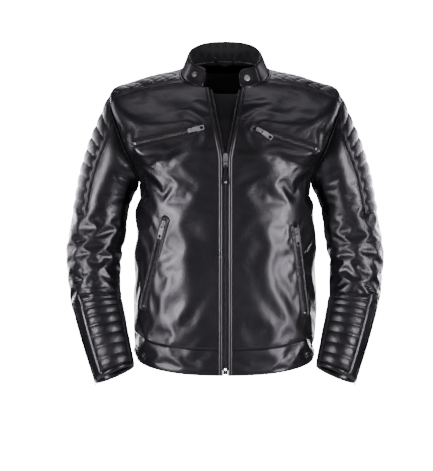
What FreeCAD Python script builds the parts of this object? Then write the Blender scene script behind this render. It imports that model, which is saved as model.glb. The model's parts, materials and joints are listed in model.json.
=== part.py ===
"""Leather riding jacket, held up by its shoulders as if worn: shell panels, lining, protectors, zips and snaps.

Millimetres. +Z is up, the wearer faces -Y and the wearer's left is +X. The origin lies on the neck's axis, at
the height where the collar meets the shoulder line.
"""
import FreeCAD
import Part
import math
import os

os.makedirs("parts", exist_ok=True)
Vec = FreeCAD.Vector

# ---------------------------------------------------------------- driving dimensions

# The shell's outline, hem to neck. Each row is one ring around the body:
# height at the side, front and back, half width, depth to the front and back, squareness of the oval.
BODY_RINGS = [
    (-619, -645, -628, 186, 122, 100, 2.5),
    (-563, -592, -572, 189, 122, 102, 2.5),
    (-470, -490, -475, 190, 122, 98, 2.5),
    (-380, -394, -380, 187, 122, 100, 2.5),
    (-300, -314, -290, 184, 122, 108, 2.6),
    (-243, -256, -225, 181, 122, 115, 2.8),
    (-180, -214, -170, 210, 122, 119, 3.0),
    (-112, -178, -126, 232, 121.4, 118, 3.0),
    (-63, -148, -92, 240, 115, 112, 2.9),
    (-46, -125, -62, 202, 104, 103, 2.6),
    (-34, -103, -36, 162, 95, 92, 2.4),
    (-27, -80, -13, 124, 84, 79, 2.3),
    (-24, -60, 6, 93, 73, 64, 2.3),
]
HEM_SEAM = 1 / 12  # shares of the way from hem to neck
ARMPIT = 0.405
SHOULDER_TIP = 8 / 12
ARMHOLE_REACH = 21  # degrees round the body that the armhole takes on each side of the side seam
YOKE_ARM_ANGLE = 54  # where the yoke seams meet the armhole and the neck
YOKE_NECK_ANGLE = 66
# The sleeve's rings below the armhole: outer x and z, inner x and z, middle y, half depth, forward tilt.
SLEEVE_RINGS = [
    (269, -128, 184, -266, 2, 69, 0),
    (290, -180, 190, -277, 5, 68, 0),
    (306, -234, 197, -294, 7, 66, 0),
    (317, -292, 204, -320, 8, 64, 0),
    (327, -350, 209, -366, 8, 63, 2),
    (334, -398, 216, -400, 4, 62, 6),
    (331, -443, 219, -440, -4, 58, 10),
    (325, -490, 217, -481, -14, 55, 13),
    (313, -536, 211, -515, -25, 52, 14),
    (294, -597, 199, -572, -40, 49, 14),
    (269, -668, 186, -632, -57, 45, 14),
]
COLLAR_TOP = (14, -20, 50, 76, 66, 60, 2.5)  # the collar's top ring, as a row of BODY_RINGS
COLLAR_ENDS = (16, 334)  # angles of the collar's left tab end and right front end
COLLAR_TAB_SEAM = 50  # the angle where the snap tab is sewn to the collar
SNAP_CAP = (27, 0.42)  # angle and share on the collar, here and below
SNAP_STUD = (316, 0.5)

LEATHER = 2.0  # the shell leather with its backing
HEM_THICK = 2.0
COLLAR_THICK = 3.0
QUILT_THICK = 5.0
BODY_LINING_DEPTH = 16.0
SLEEVE_LINING_DEPTH = 9.6
LINING_THICK = 0.8
PROTECTOR = (2.6, 8.6)  # depths of a protector's faces under the shell
SEAM_GAP = 0.4  # left between neighbouring panels

QUILT_ANGLES = (-58, 62)  # the shoulder quilting, round the sleeve
QUILT_END = 0.40  # and along it
FOREARM_START = 0.745
FOREARM_QUILT_ANGLES = (54, 152)
CHEST_FLAT = ((82, -153), (160, -175))  # the middle line of the flat leather round a chest zip: x and z
FLAT_REACH = (21, 46)
FLAT_LIFT = 2.0
CUFF_ZIP_ANGLE = 22
CUFF_ZIP_ROOM = 6.4
CUFF_ZIP_TOP = 0.80
CUFF_ZIP_END = 0.975

ZIP_SPLIT = -204  # the front slider's height; the front stands open above it
ZIP_END = -634
ZIP_GAP = 5.0  # from the middle to the placket where the front is closed
ZIP_OPEN = 33  # the same at the neck
PLACKET_WIDTH = 10
PLACKET_THICK = 1.1
PLACKET_RAISE = 0.3
TAPE_DEPTH = 2.6  # the front zip's tape under the shell's face
UPPER_TAPE_DEPTH = 3.2  # the same where the front stands open

# Slider end and far end of each pocket zip, seen from the front: x and z.
CHEST_ZIPS = {"right": ((-70, -150), (-177, -174)), "left": ((67, -149), (176, -184))}
HAND_ZIPS = {"right": ((-125, -338), (-166, -500)), "left": ((143, -352), (163, -514))}

TOOTH_PITCH = 3.0
TOOTH = 1.3
TOOTH_REACH = 2.9  # from the zip's middle to the outer edge of its cord
ZIP_SLIT = 0.9  # half the slit that the slider's divider runs in
CHAIN_THICK = 2.0
TAPE_HALF = 11.0
POCKET_TAPE_HALF = 9.0
TAPE_THICK = 0.7
WELT_HALF = 9.5
WELT_END = 7.0
WELT_BORDER = 3.0
WELT_SLOT = 4.5
WELT_FACE = 2.8  # the welt's outer face above the tape's middle
PLATE_IN = 1.35  # a slider's plates, from the tape's middle
PLATE_OUT = 2.65
BRIDGE_TOP = 5.9
BRIDGE_HALF = 4.2
SLIDER_HALF = 4.1
SLIDER_TALL = 12
FRONT_SLIDER_HALF = 4.7
FRONT_SLIDER_TALL = 16
PULL_PIVOT = (0, -3.7, -1.9)  # where a puller's bar hangs in the bridge
PULL_BAR = 0.7
PULL_LONG = 30
PULL_HALF = 4.8
PULL_WINDOW = 6.5
LINK_LONG = 18
LINK_HALF = 4.0
LINK_WINDOW = 3.4
TAB_LONG = 38
TAB_HALF = 6.6
TAB_FACE = -6.6
TAB_BACK = -4.35
CUFF_TAPE_HALF = 8.0
BAG_DEPTHS = (7.0, 10.0)
WIND_FLAP_DEPTHS = (7.4, 9.0)


# ---------------------------------------------------------------- curves and surfaces

def bends_of(rows):
    """The second derivatives, row by row, of the natural cubic spline through evenly spaced rows of numbers."""
    count, width = len(rows), len(rows[0])
    bends = [[0.0] * width for _ in rows]
    for k in range(width):
        upper, right = [0.0] * count, [0.0] * count
        for i in range(1, count - 1):
            pull = 6 * (rows[i + 1][k] - 2 * rows[i][k] + rows[i - 1][k])
            pivot = 4 - upper[i - 1]
            upper[i] = 1 / pivot
            right[i] = (pull - right[i - 1]) / pivot
        for i in range(count - 2, 0, -1):
            bends[i][k] = right[i] - upper[i] * bends[i + 1][k]
    return bends


def spline(rows):
    """A natural cubic spline through the rows, as a function of the share from 0 to 1."""
    count, width = len(rows), len(rows[0])
    bends = bends_of(rows)

    def at(share):
        place = min(max(share, 0.0), 1.0) * (count - 1)
        i = min(int(place), count - 2)
        b = place - i
        a = 1 - b
        return [
            a * rows[i][k] + b * rows[i + 1][k]
            + ((a ** 3 - a) * bends[i][k] + (b ** 3 - b) * bends[i + 1][k]) / 6
            for k in range(width)
        ]

    return at


def spline_poles(points):
    """The poles of the natural cubic spline through evenly spaced points, for knots at 0, 1, 2 and so on."""
    bends = [Vec(*bend) for bend in bends_of([tuple(point) for point in points])]
    first_slope = points[1] - points[0] - bends[1] / 6
    last_slope = points[-1] - points[-2] + bends[-2] / 6
    poles = [points[0], points[0] + first_slope / 3]
    poles += [point - bend / 6 for point, bend in zip(points[1:-1], bends[1:-1])]
    return poles + [points[-1] - last_slope / 3, points[-1]]


def smooth_surface(grid):
    """The bicubic surface through a grid of points."""
    across = [spline_poles(row) for row in grid]
    columns = [spline_poles([row[j] for row in across]) for j in range(len(across[0]))]
    poles = [[column[i] for column in columns] for i in range(len(columns[0]))]
    knots = [list(range(len(grid))), list(range(len(grid[0])))]
    mults = [[4] + [1] * (len(knot) - 2) + [4] for knot in knots]
    surface = Part.BSplineSurface()
    surface.buildFromPolesMultsKnots(poles, *mults, *knots, False, False, 3, 3)
    return surface


def ring_point(ring, angle):
    """The point of a body ring at an angle: 0 at the front, 90 at the wearer's left, 180 at the back."""
    z_side, z_front, z_back, half_width, front, back, square = ring
    turn = math.radians(angle)
    sine, cosine = math.sin(turn), math.cos(turn)
    across = math.copysign(abs(sine) ** (2 / square), sine)
    along = -math.copysign(abs(cosine) ** (2 / square), cosine)
    depth = front if along < 0 else back
    tilt = (z_back - z_front) / 2
    dome = (z_front + z_back) / 2 - z_side
    return Vec(half_width * across, depth * along, z_side + tilt * along + dome * along * along)


body_ring = spline(BODY_RINGS)


def base_point(angle, share):
    return ring_point(body_ring(share), angle)


def collar_point(angle, share):
    rings = (BODY_RINGS[-1], COLLAR_TOP)
    return ring_point([a + (b - a) * share for a, b in zip(*rings)], angle)


def angle_at(x, share):
    """The angle on the body's front where it is x from the middle."""
    ring = body_ring(share)
    return math.copysign(math.degrees(math.asin((abs(x) / ring[3]) ** (ring[6] / 2))), x)


def share_at(x, z):
    """The share at which the body's front is seen at x and z."""
    low, high = 0.0, 0.9
    while high - low > 1e-6:
        middle = (low + high) / 2
        if body_ring(middle)[3] > abs(x) and base_point(angle_at(x, middle), middle).z > z:
            high = middle
        else:
            low = middle
    return low


def base_front(x, z):
    share = share_at(x, z)
    return base_point(angle_at(x, share), share)


class FlatPatch:
    """The leather round a chest zip lies flat: the plane it follows, and how much of it counts at a point."""

    def __init__(self, start, end):
        self.start, self.along = Vec(start[0], 0, start[1]), Vec(end[0] - start[0], 0, end[1] - start[1])
        self.long = self.along.Length
        self.along.normalize()
        side = Vec(-self.along.z, 0, self.along.x) * 18
        middle = Vec((start[0] + end[0]) / 2, 0, (start[1] + end[1]) / 2)
        slope = base_front(*self.flat(middle + side)) - base_front(*self.flat(middle - side))
        first, last = base_front(*start), base_front(*end)
        self.normal = (last - first).cross(slope).normalize()
        self.through = (first + last) / 2 + Vec(0, -FLAT_LIFT, 0)

    @staticmethod
    def flat(point):
        return point.x, point.z

    def bend(self, point):
        """The point moved along Y towards the plane."""
        seen = Vec(abs(point.x), 0, point.z)
        reach = min(max((seen - self.start).dot(self.along), 0), self.long)
        away = (seen - self.start - self.along * reach).Length
        if point.y > 0 or away > FLAT_REACH[1]:
            return point
        part = min(max((away - FLAT_REACH[0]) / (FLAT_REACH[1] - FLAT_REACH[0]), 0), 1)
        weight = 1 - part * part * (3 - 2 * part)
        offset = seen - self.through
        y = -(offset.x * self.normal.x + offset.z * self.normal.z) / self.normal.y + self.through.y
        return Vec(point.x, point.y + (y - point.y) * weight, point.z)


chest_flat = FlatPatch(*CHEST_FLAT)


def body_point(angle, share):
    return chest_flat.bend(base_point(angle, share))


def front_at(x, z):
    share = share_at(x, z)
    return body_point(angle_at(x, share), share)


def armhole_place(angle):
    """The armhole as an angle and share of the body: 0 at the shoulder tip, 90 at the front, 180 at the armpit."""
    turn = math.radians(angle)
    reach = ARMHOLE_REACH * math.sin(turn) * (1 - 0.2 * math.cos(turn))
    return 90 - reach, SHOULDER_TIP - (SHOULDER_TIP - ARMPIT) * (1 - math.cos(turn)) / 2


sleeve_lines = {}


def sleeve_point(angle, share):
    """The wearer's left sleeve: share 0 at the armhole and 1 at the cuff; angle as in armhole_place."""
    key = round(angle, 3)
    if key not in sleeve_lines:
        rows = [tuple(body_point(*armhole_place(angle)))]
        turn = math.radians(angle)
        for xo, zo, xi, zi, y, depth, lean in SLEEVE_RINGS:
            middle = Vec((xo + xi) / 2, y, (zo + zi) / 2)
            out = Vec((xo - xi) / 2, 0, (zo - zi) / 2)
            ahead = Vec(0, -math.cos(math.radians(lean)), math.sin(math.radians(lean)))
            rows.append(tuple(middle + out * math.cos(turn) + ahead * depth * math.sin(turn)))
        sleeve_lines[key] = spline(rows)
    return Vec(*sleeve_lines[key](share))


def outward(surface, a, b):
    """The surface's unit normal, pointing out of the garment."""
    step_a, step_b = 0.5, 0.004
    along = surface(a + step_a, b) - surface(a - step_a, b)
    up = surface(a, min(b + step_b, 1)) - surface(a, max(b - step_b, 0))
    normal = along.cross(up)
    normal.normalize()
    return normal


# ---------------------------------------------------------------- solids

def closed_solid(low, high):
    """The solid between two surfaces given as grids of the same size."""
    surfaces = [smooth_surface(grid) for grid in (low, high)]
    rims = []
    for surface in surfaces:
        u0, u1, v0, v1 = surface.bounds()
        curves = (surface.uIso(u0), surface.uIso(u1), surface.vIso(v0), surface.vIso(v1))
        rims.append([curve.toShape() for curve in curves])
    faces = [surface.toShape() for surface in surfaces]
    faces += [Part.makeRuledSurface(a, b, 1) for a, b in zip(*rims)]
    shell = Part.makeShell(faces)
    shell.sewShape()
    solid = Part.makeSolid(shell)
    if solid.Volume < 0:
        solid.reverse()
    return solid


def panel(surface, left, right, depths, count=(10, 10), gap=SEAM_GAP):
    """A panel between two lines of a surface, each a function of a share, from one depth under it to another.

    Its four edges stand back by half the seam gap.
    """
    def place(u, v):
        (a0, b0), (a1, b1) = left(v), right(v)
        return a0 + (a1 - a0) * u, b0 + (b1 - b0) * u

    wide = (surface(*place(1, 0.5)) - surface(*place(0, 0.5))).Length
    tall = (surface(*place(0.5, 1)) - surface(*place(0.5, 0))).Length
    trim_u, trim_v = gap / 2 / wide, gap / 2 / tall
    grids = []
    for depth in depths:
        grid = []
        for i in range(count[0] + 1):
            u = trim_u + (1 - 2 * trim_u) * i / count[0]
            row = []
            for j in range(count[1] + 1):
                a, b = place(u, trim_v + (1 - 2 * trim_v) * j / count[1])
                row.append(surface(a, b) - outward(surface, a, b) * depth)
            grid.append(row)
        grids.append(grid)
    return closed_solid(grids[1], grids[0])


def line(start, end):
    """A straight line in angle and share, as a function of the share along it."""
    return lambda v: (start[0] + (end[0] - start[0]) * v, start[1] + (end[1] - start[1]) * v)


def patch(surface, angles, shares, depths, count=(10, 10), gap=SEAM_GAP):
    """A panel between two angles and two shares."""
    left = line((angles[0], shares[0]), (angles[0], shares[1]))
    right = line((angles[1], shares[0]), (angles[1], shares[1]))
    return panel(surface, left, right, depths, count, gap)


def prism(outline, y0, y1):
    """A prism along Y with an outline of x and z."""
    points = [Vec(x, y0, z) for x, z in outline]
    return Part.Face(Part.makePolygon(points + points[:1])).extrude(Vec(0, y1 - y0, 0))


def block(x0, x1, y0, y1, z0, z1):
    return Part.makeBox(x1 - x0, y1 - y0, z1 - z0, Vec(x0, y0, z0))


def mirrored(shape):
    return shape.mirror(Vec(0, 0, 0), Vec(1, 0, 0))


def side_pair(name, *shapes):
    """Saves the wearer's left piece and its mirror image on the right."""
    save(f"{name}_left", *shapes)
    save(f"{name}_right", *[mirrored(shape) for shape in shapes])


def save(name, *shapes):
    solids = [s for shape in shapes for s in shape.Solids]
    bad = [i for i, s in enumerate(solids) if not s.isValid() or s.Volume <= 0]
    if bad or not solids:
        raise ValueError(f"{name}: {len(solids)} solids, bad {bad}")
    whole = solids[0] if len(solids) == 1 else Part.makeCompound(solids)
    whole.exportStep(f"parts/{name}.step")
    print(f"{name}: {len(solids)} solids, {sum(s.Volume for s in solids) / 1000:.1f} cm3")


# ---------------------------------------------------------------- zips

class Zip:
    """A straight zip. Its own frame: x across, +y into the garment, z from the far end towards the slider."""

    def __init__(self, slider, far, outside, lift=0.0):
        self.up = (slider - far).normalize()
        self.length = (slider - far).Length
        inward = outside * -1
        inward = (inward - self.up * inward.dot(self.up)).normalize()
        self.inward = inward
        self.across = inward.cross(self.up)
        self.origin = slider - inward * lift
        x, y, z, o = self.across, self.inward, self.up, self.origin
        self.matrix = FreeCAD.Matrix(x.x, y.x, z.x, o.x, x.y, y.y, z.y, o.y, x.z, y.z, z.z, o.z, 0, 0, 0, 1)

    def put(self, shape):
        moved = shape.copy()
        moved.Placement = FreeCAD.Placement(self.matrix).multiply(shape.Placement)
        return moved

    def point(self, x, y, z):
        return self.matrix.multVec(Vec(x, y, z))


def teeth_row(side, top, bottom):
    """One row of teeth with its cord: a comb on the side's edge, from z top to bottom."""
    phase = TOOTH_PITCH / 2 if side > 0 else 0
    cord = 2.2
    outline = [(side * TOOTH_REACH, bottom), (side * TOOTH_REACH, top), (side * cord, top)]
    count = int((top - bottom - TOOTH_PITCH) / TOOTH_PITCH)
    for i in range(count):
        z = top - 0.8 - phase - i * TOOTH_PITCH
        outline += [(side * cord, z), (side * ZIP_SLIT, z - 0.2)]
        outline += [(side * ZIP_SLIT, z - TOOTH + 0.2), (side * cord, z - TOOTH)]
    outline.append((side * cord, bottom))
    return prism(outline, -CHAIN_THICK / 2, CHAIN_THICK / 2)


def tape_strip(side, top, bottom, half=TAPE_HALF):
    x0, x1 = sorted((side * TOOTH_REACH, side * half))
    return block(x0, x1, -TAPE_THICK / 2, TAPE_THICK / 2, bottom, top)


def slider_body(half, tall):
    """A slider with two plates, its divider and the bridge that holds its puller."""
    taper = 0.8
    outline = [
        (-half + taper, -tall / 2), (half - taper, -tall / 2), (half, -tall / 2 + 2 * taper),
        (half, tall / 2 - 3 * taper), (half - 1.5 * taper, tall / 2),
        (-half + 1.5 * taper, tall / 2), (-half, tall / 2 - 3 * taper), (-half, -tall / 2 + 2 * taper),
    ]
    front = prism(outline, -PLATE_OUT, -PLATE_IN)
    back = prism(outline, PLATE_IN, PLATE_OUT)
    divider = block(-0.6, 0.6, -PLATE_OUT, PLATE_OUT, tall / 2 - 4, tall / 2 - 0.5)
    post = 1.2
    arch = block(-1.1, 1.1, -BRIDGE_TOP, -PLATE_OUT + 0.1, -BRIDGE_HALF, BRIDGE_HALF)
    hole = block(-2, 2, -BRIDGE_TOP + post, -PLATE_OUT, -BRIDGE_HALF + post, BRIDGE_HALF - post)
    return front.fuse([back, divider, arch.cut(hole)]).removeSplitter()


def puller(long, half, swing, ring=7.4, window=0.0):
    """A flat metal puller hung in the bridge, swung round the slider's face; window is its end hole's length."""
    arm_in = 2.2
    ring_half = 3.8
    thick = 0.55
    bar = Part.makeCylinder(PULL_BAR, 2 * ring_half, Vec(-ring_half, 0, 0), Vec(1, 0, 0))
    shoulder = half if half > ring_half else ring_half
    outline = [
        (-ring_half, 0), (ring_half, 0), (ring_half, -ring + 1), (shoulder, -ring - 1),
        (half, -long + 1.2), (half - 1.2, -long), (-half + 1.2, -long), (-half, -long + 1.2),
        (-shoulder, -ring - 1), (-ring_half, -ring + 1),
    ]
    plate = prism(outline, -thick, thick).cut(block(-arm_in, arm_in, -2, 2, -ring, 1))
    made = plate.fuse(bar).removeSplitter()
    if window:
        made = made.cut(block(-half + 1.8, half - 1.8, -2, 2, -long + 1.8, -long + 1.8 + window))
    made.rotate(Vec(0, 0, 0), Vec(0, 1, 0), swing)
    made.translate(Vec(*PULL_PIVOT))
    return made


def pocket_zip_parts(zipper):
    """Welt frame, tape pair and teeth rows of a pocket zip, in place."""
    top, bottom = WELT_END, -zipper.length - WELT_END
    frame = block(-WELT_HALF, WELT_HALF, -WELT_FACE, -TAPE_THICK / 2, bottom - WELT_BORDER, top + WELT_BORDER)
    slot = block(-WELT_SLOT, WELT_SLOT, -WELT_FACE - 1, 1, bottom, top)
    tapes = [tape_strip(side, top + 1, bottom - 1, POCKET_TAPE_HALF) for side in (-1, 1)]
    rows = [teeth_row(side, top - 0.5, bottom + 0.5) for side in (-1, 1)]
    return zipper.put(frame.cut(slot)), [zipper.put(t) for t in tapes], [zipper.put(r) for r in rows]


def pocket_window(zipper, room=0.4):
    """The opening that a pocket zip's welts fill in the shell."""
    half = WELT_HALF + room
    end = WELT_END + WELT_BORDER + room
    return zipper.put(block(-half, half, -30, 14, -zipper.length - end, end))


def pocket_zip(ends, lift):
    slider, far = front_at(*ends[0]), front_at(*ends[1])
    middle = front_at((ends[0][0] + ends[1][0]) / 2, (ends[0][1] + ends[1][1]) / 2)
    share = share_at(middle.x, middle.z)
    return Zip(slider, far, outward(body_point, angle_at(middle.x, share), share), lift)


chest_zips = {side: pocket_zip(ends, -1.8) for side, ends in CHEST_ZIPS.items()}
hand_zips = {side: pocket_zip(ends, -1.0) for side, ends in HAND_ZIPS.items()}
cuff_zips = {}
for side, sign in (("left", 1), ("right", -1)):
    ends = [sleeve_point(CUFF_ZIP_ANGLE, share) for share in (CUFF_ZIP_END, CUFF_ZIP_TOP)]
    away = outward(sleeve_point, CUFF_ZIP_ANGLE, (CUFF_ZIP_END + CUFF_ZIP_TOP) / 2)
    flip = [Vec(sign * v.x, v.y, v.z) for v in (*ends, away)]
    cuff_zips[side] = Zip(*flip, lift=-3.1)
FRONT_FACE = -BODY_RINGS[0][4]
front_zip = Zip(
    Vec(0, FRONT_FACE, ZIP_SPLIT), Vec(0, FRONT_FACE, ZIP_END), Vec(0, -1, 0), -TAPE_DEPTH
)


# ---------------------------------------------------------------- shell panels

def front_edge(share, extra=0.0):
    """Half the front opening's width: closed below the slider, a V above it."""
    z = body_point(0, share).z
    slope = (ZIP_OPEN - ZIP_GAP) / (BODY_RINGS[-1][1] - ZIP_SPLIT)
    over = slope * (z - ZIP_SPLIT)
    soft = 1.2
    return ZIP_GAP + extra + (over + math.sqrt(over * over + soft * soft)) / 2


def opening_line(low, high, extra=0.0):
    """The front opening's edge between two shares, moved out by an extra width."""
    def at(v):
        share = low + (high - low) * v
        return angle_at(front_edge(share, extra), share), share
    return at


def armhole_line(start, end):
    return lambda v: armhole_place(start + (end - start) * v)


chest_line = line((42, ARMPIT), (YOKE_NECK_ANGLE, 1))
back_line = line((138, ARMPIT), (180 - YOKE_NECK_ANGLE, 1))
back_line_right = line((222, ARMPIT), (180 + YOKE_NECK_ANGLE, 1))


def right_of(curve):
    """A back line of the wearer's left, on the right."""
    return lambda v: (360 - curve(v)[0], curve(v)[1])


def body_set(depths, inset=0.0, low=HEM_SEAM):
    """Front halves, back pieces and yoke of one layer of the body, on the left; the back's pieces are whole."""
    side = line((90 - inset, low), (90 - inset, ARMPIT))
    lower_front = panel(body_point, opening_line(low, ARMPIT, inset / 2), side, depths, (12, 12))
    inner = panel(body_point, opening_line(ARMPIT, 1, inset / 2), chest_line, depths, (16, 26))
    arm_front = armhole_line(180 - inset, YOKE_ARM_ANGLE)
    outer = panel(body_point, chest_line, arm_front, depths, (12, 22))
    lower_back = patch(body_point, (90, 270), (low, ARMPIT), depths, (24, 12))
    arm_back = armhole_line(180 + inset, 360 - YOKE_ARM_ANGLE)
    outer_back = panel(body_point, arm_back, back_line, depths, (8, 14))
    middle_back = panel(body_point, back_line, back_line_right, depths, (16, 14))

    def yoke_bottom(u):
        return armhole_place(YOKE_ARM_ANGLE * (1 - 2 * u))

    def yoke_side(u):
        return lambda v: (
            yoke_bottom(u)[0] + (YOKE_NECK_ANGLE + (180 - 2 * YOKE_NECK_ANGLE) * u - yoke_bottom(u)[0]) * v,
            yoke_bottom(u)[1] + (1 - yoke_bottom(u)[1]) * v,
        )

    grids = []
    for depth in depths:
        grid = []
        for i in range(13):
            side_line = yoke_side(0.002 + 0.996 * i / 12)
            row = []
            for j in range(13):
                a, b = side_line(0.002 + 0.996 * j / 12)
                row.append(body_point(a, b) - outward(body_point, a, b) * depth)
            grid.append(row)
        grids.append(grid)
    yoke = closed_solid(grids[1], grids[0])
    backs = [lower_back, outer_back, mirrored(outer_back), middle_back]
    return [lower_front, inner, outer], backs, yoke


fronts, backs, yoke = body_set((0, LEATHER))
for side in ("left", "right"):
    pieces = fronts if side == "left" else [mirrored(piece) for piece in fronts]
    for zipper in (chest_zips[side], hand_zips[side]):
        pieces = [piece.cut(pocket_window(zipper)) for piece in pieces]
    save(f"front_panel_{side}", *pieces)
save("back_panel", *backs)
side_pair("shoulder_yoke", yoke)

hem_front = panel(
    body_point, opening_line(0, HEM_SEAM), line((90, 0), (90, HEM_SEAM)), (0, HEM_THICK), (10, 4)
)
side_pair("hem_band", hem_front)
save("hem_band_back", patch(body_point, (90, 270), (0, HEM_SEAM), (0, HEM_THICK), (24, 4)))

placket = [
    panel(
        body_point, opening_line(low, high), opening_line(low, high, PLACKET_WIDTH),
        (-PLACKET_RAISE - PLACKET_THICK, -PLACKET_RAISE), (2, steps), 0.2,
    )
    for low, high, steps in ((0.004, ARMPIT, 10), (ARMPIT, 0.985, 16))
]
side_pair("front_placket", *placket)


# ---------------------------------------------------------------- collar

save(
    "collar_shell",
    patch(collar_point, (COLLAR_TAB_SEAM, 180), (0.03, 1), (0, COLLAR_THICK), (14, 4)),
    patch(collar_point, (180, COLLAR_ENDS[1]), (0.03, 1), (0, COLLAR_THICK), (16, 4)),
)
save(
    "collar_lining",
    patch(collar_point, (COLLAR_TAB_SEAM + 2, 180), (0.05, 0.98), (3.2, 4.6), (14, 4)),
    patch(collar_point, (180, COLLAR_ENDS[1] - 2), (0.05, 0.98), (3.2, 4.6), (16, 4)),
)
tab = patch(collar_point, (COLLAR_ENDS[0], COLLAR_TAB_SEAM), (0.10, 0.93), (0, COLLAR_THICK), (6, 4), 0.8)
save("collar_tab", tab)


def snap(surface, angle, share, depths, radii):
    """A round snap part on a surface: a stack of discs from one depth to the next, one radius each."""
    out = outward(surface, angle, share)
    base = surface(angle, share)
    discs = []
    for (start, end), radius in zip(depths, radii):
        discs.append(Part.makeCylinder(radius, end - start, base + out * start, out))
    return discs[0] if len(discs) == 1 else discs[0].fuse(discs[1:])


cap = snap(collar_point, *SNAP_CAP, [(0.5, 2.6)], [6.3])
rim = [edge for edge in cap.Edges if edge.Closed and (edge.CenterOfMass - collar_point(*SNAP_CAP)).Length > 1.5]
save("collar_snap_cap", cap.makeFillet(1.3, rim))
save("collar_snap_stud", snap(collar_point, *SNAP_STUD, [(0.5, 1.6), (1.6, 3.8)], [6.0, 2.6]))


# ---------------------------------------------------------------- sleeves

def sleeve_patch(angles, shares, depths, count):
    return patch(sleeve_point, (angles[1], angles[0]), shares, depths, count)


seam_low, seam_high = QUILT_ANGLES[1], 360 + QUILT_ANGLES[0]
zip_low, zip_high = CUFF_ZIP_ANGLE - CUFF_ZIP_ROOM, CUFF_ZIP_ANGLE + CUFF_ZIP_ROOM
half_way = (seam_low + seam_high) / 2
forearm_back = (FOREARM_QUILT_ANGLES[1] + 360 + zip_low) / 2
cuff_lap = CUFF_ZIP_TOP - 0.012
leather = (0, LEATHER)
sleeve = [
    sleeve_patch((seam_low, half_way), (0.004, QUILT_END), leather, (10, 14)),
    sleeve_patch((half_way, seam_high), (0.004, QUILT_END), leather, (10, 14)),
    sleeve_patch((0, 120), (QUILT_END, FOREARM_START), leather, (10, 10)),
    sleeve_patch((120, 240), (QUILT_END, FOREARM_START), leather, (10, 10)),
    sleeve_patch((240, 360), (QUILT_END, FOREARM_START), leather, (10, 10)),
    sleeve_patch((zip_high, FOREARM_QUILT_ANGLES[0]), (FOREARM_START, 1), leather, (5, 8)),
    sleeve_patch((FOREARM_QUILT_ANGLES[1], forearm_back), (FOREARM_START, 1), leather, (10, 8)),
    sleeve_patch((forearm_back, 360 + zip_low), (FOREARM_START, 1), leather, (10, 8)),
    sleeve_patch((zip_low, zip_high), (FOREARM_START, cuff_lap), leather, (3, 3)),
]
side_pair("sleeve", *sleeve)
side_pair("sleeve_quilt", sleeve_patch(QUILT_ANGLES, (0.004, QUILT_END), (0, QUILT_THICK), (12, 14)))
forearm_quilt = sleeve_patch(FOREARM_QUILT_ANGLES, (FOREARM_START, 0.985), (0, QUILT_THICK), (8, 8))
side_pair("forearm_quilt", forearm_quilt)

lining_depths = (SLEEVE_LINING_DEPTH, SLEEVE_LINING_DEPTH + LINING_THICK)
sleeve_lining = [
    sleeve_patch((start, start + 120), (0.06, 0.97), lining_depths, (10, 20)) for start in (-60, 60, 180)
]
save("sleeve_linings", *sleeve_lining, *[mirrored(piece) for piece in sleeve_lining])


# ---------------------------------------------------------------- inside the body

liner_depths = (BODY_LINING_DEPTH, BODY_LINING_DEPTH + LINING_THICK)
liner = [
    patch(base_point, (16, 90), (0.03, ARMPIT), liner_depths, (10, 12)),
    panel(base_point, line((16, ARMPIT), (40, 0.94)), line((42, ARMPIT), (66, 0.94)), liner_depths, (6, 12)),
    panel(
        base_point, line((42, ARMPIT), (66, 0.94)), line((68, ARMPIT + 0.02), (73, 0.72)), liner_depths, (6, 12)
    ),
]
liner_back = [
    patch(base_point, (90, 270), (0.03, ARMPIT), liner_depths, (24, 12)),
    panel(
        base_point, line((112, ARMPIT + 0.02), (107, 0.72)), line((138, ARMPIT), (114, 0.94)),
        liner_depths, (6, 12),
    ),
    panel(base_point, line((138, ARMPIT), (114, 0.94)), line((222, ARMPIT), (246, 0.94)), liner_depths, (16, 12)),
]
save("body_lining", *liner, *[mirrored(piece) for piece in liner], *liner_back, mirrored(liner_back[1]))

flap = panel(
    base_point, opening_line(0.03, 0.96, -60), opening_line(0.03, 0.96, 34), WIND_FLAP_DEPTHS, (10, 24), 0
)
save("wind_flap", flap)

loop_outer, loop_inner, loop_drop = 24, 18, 20
arc = [(math.cos(math.radians(a)), -math.sin(math.radians(a))) for a in range(0, 181, 15)]
outline = [(loop_outer * c, loop_drop * s) for c, s in arc]
outline += [(loop_inner * c, (loop_drop - 5) * s) for c, s in reversed(arc)]
loop = prism(outline, 0, 1.4)
loop.translate(Vec(0, BODY_RINGS[-1][5] - 8.2, 16))
save("hanger_loop", loop)

save("back_protector", patch(body_point, (152, 208), (0.14, 0.62), PROTECTOR, (14, 14)))
shoulder_guard = sleeve_patch((-34, 34), (0.04, 0.20), (5.4, 8.8), (8, 8))
save("shoulder_protectors", shoulder_guard, mirrored(shoulder_guard))
elbow_guard = sleeve_patch((285, 375), (0.43, 0.70), PROTECTOR, (10, 12))
save("elbow_protectors", elbow_guard, mirrored(elbow_guard))

straps = [
    patch(body_point, (start, start + 26), (0.018, 0.052), (-2.2, -0.2), (5, 3)) for start in (58, 276)
]
save("side_straps", *straps)


# ---------------------------------------------------------------- pocket zips

for name, zips, bag in (
    ("chest", chest_zips, ((24, 62), (0.345, 0.455))),
    ("hand", hand_zips, ((16, 36), (0.12, 0.30))),
):
    parts = [pocket_zip_parts(zipper) for zipper in zips.values()]
    save(f"{name}_pocket_welts", *[part[0] for part in parts])
    save(f"{name}_zip_tapes", *[tape for part in parts for tape in part[1]])
    save(f"{name}_zip_teeth", *[row for part in parts for row in part[2]])
    pocket = patch(base_point, *bag, BAG_DEPTHS, (8, 8))
    save(f"{name}_pocket_bags", pocket, mirrored(pocket))

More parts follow.
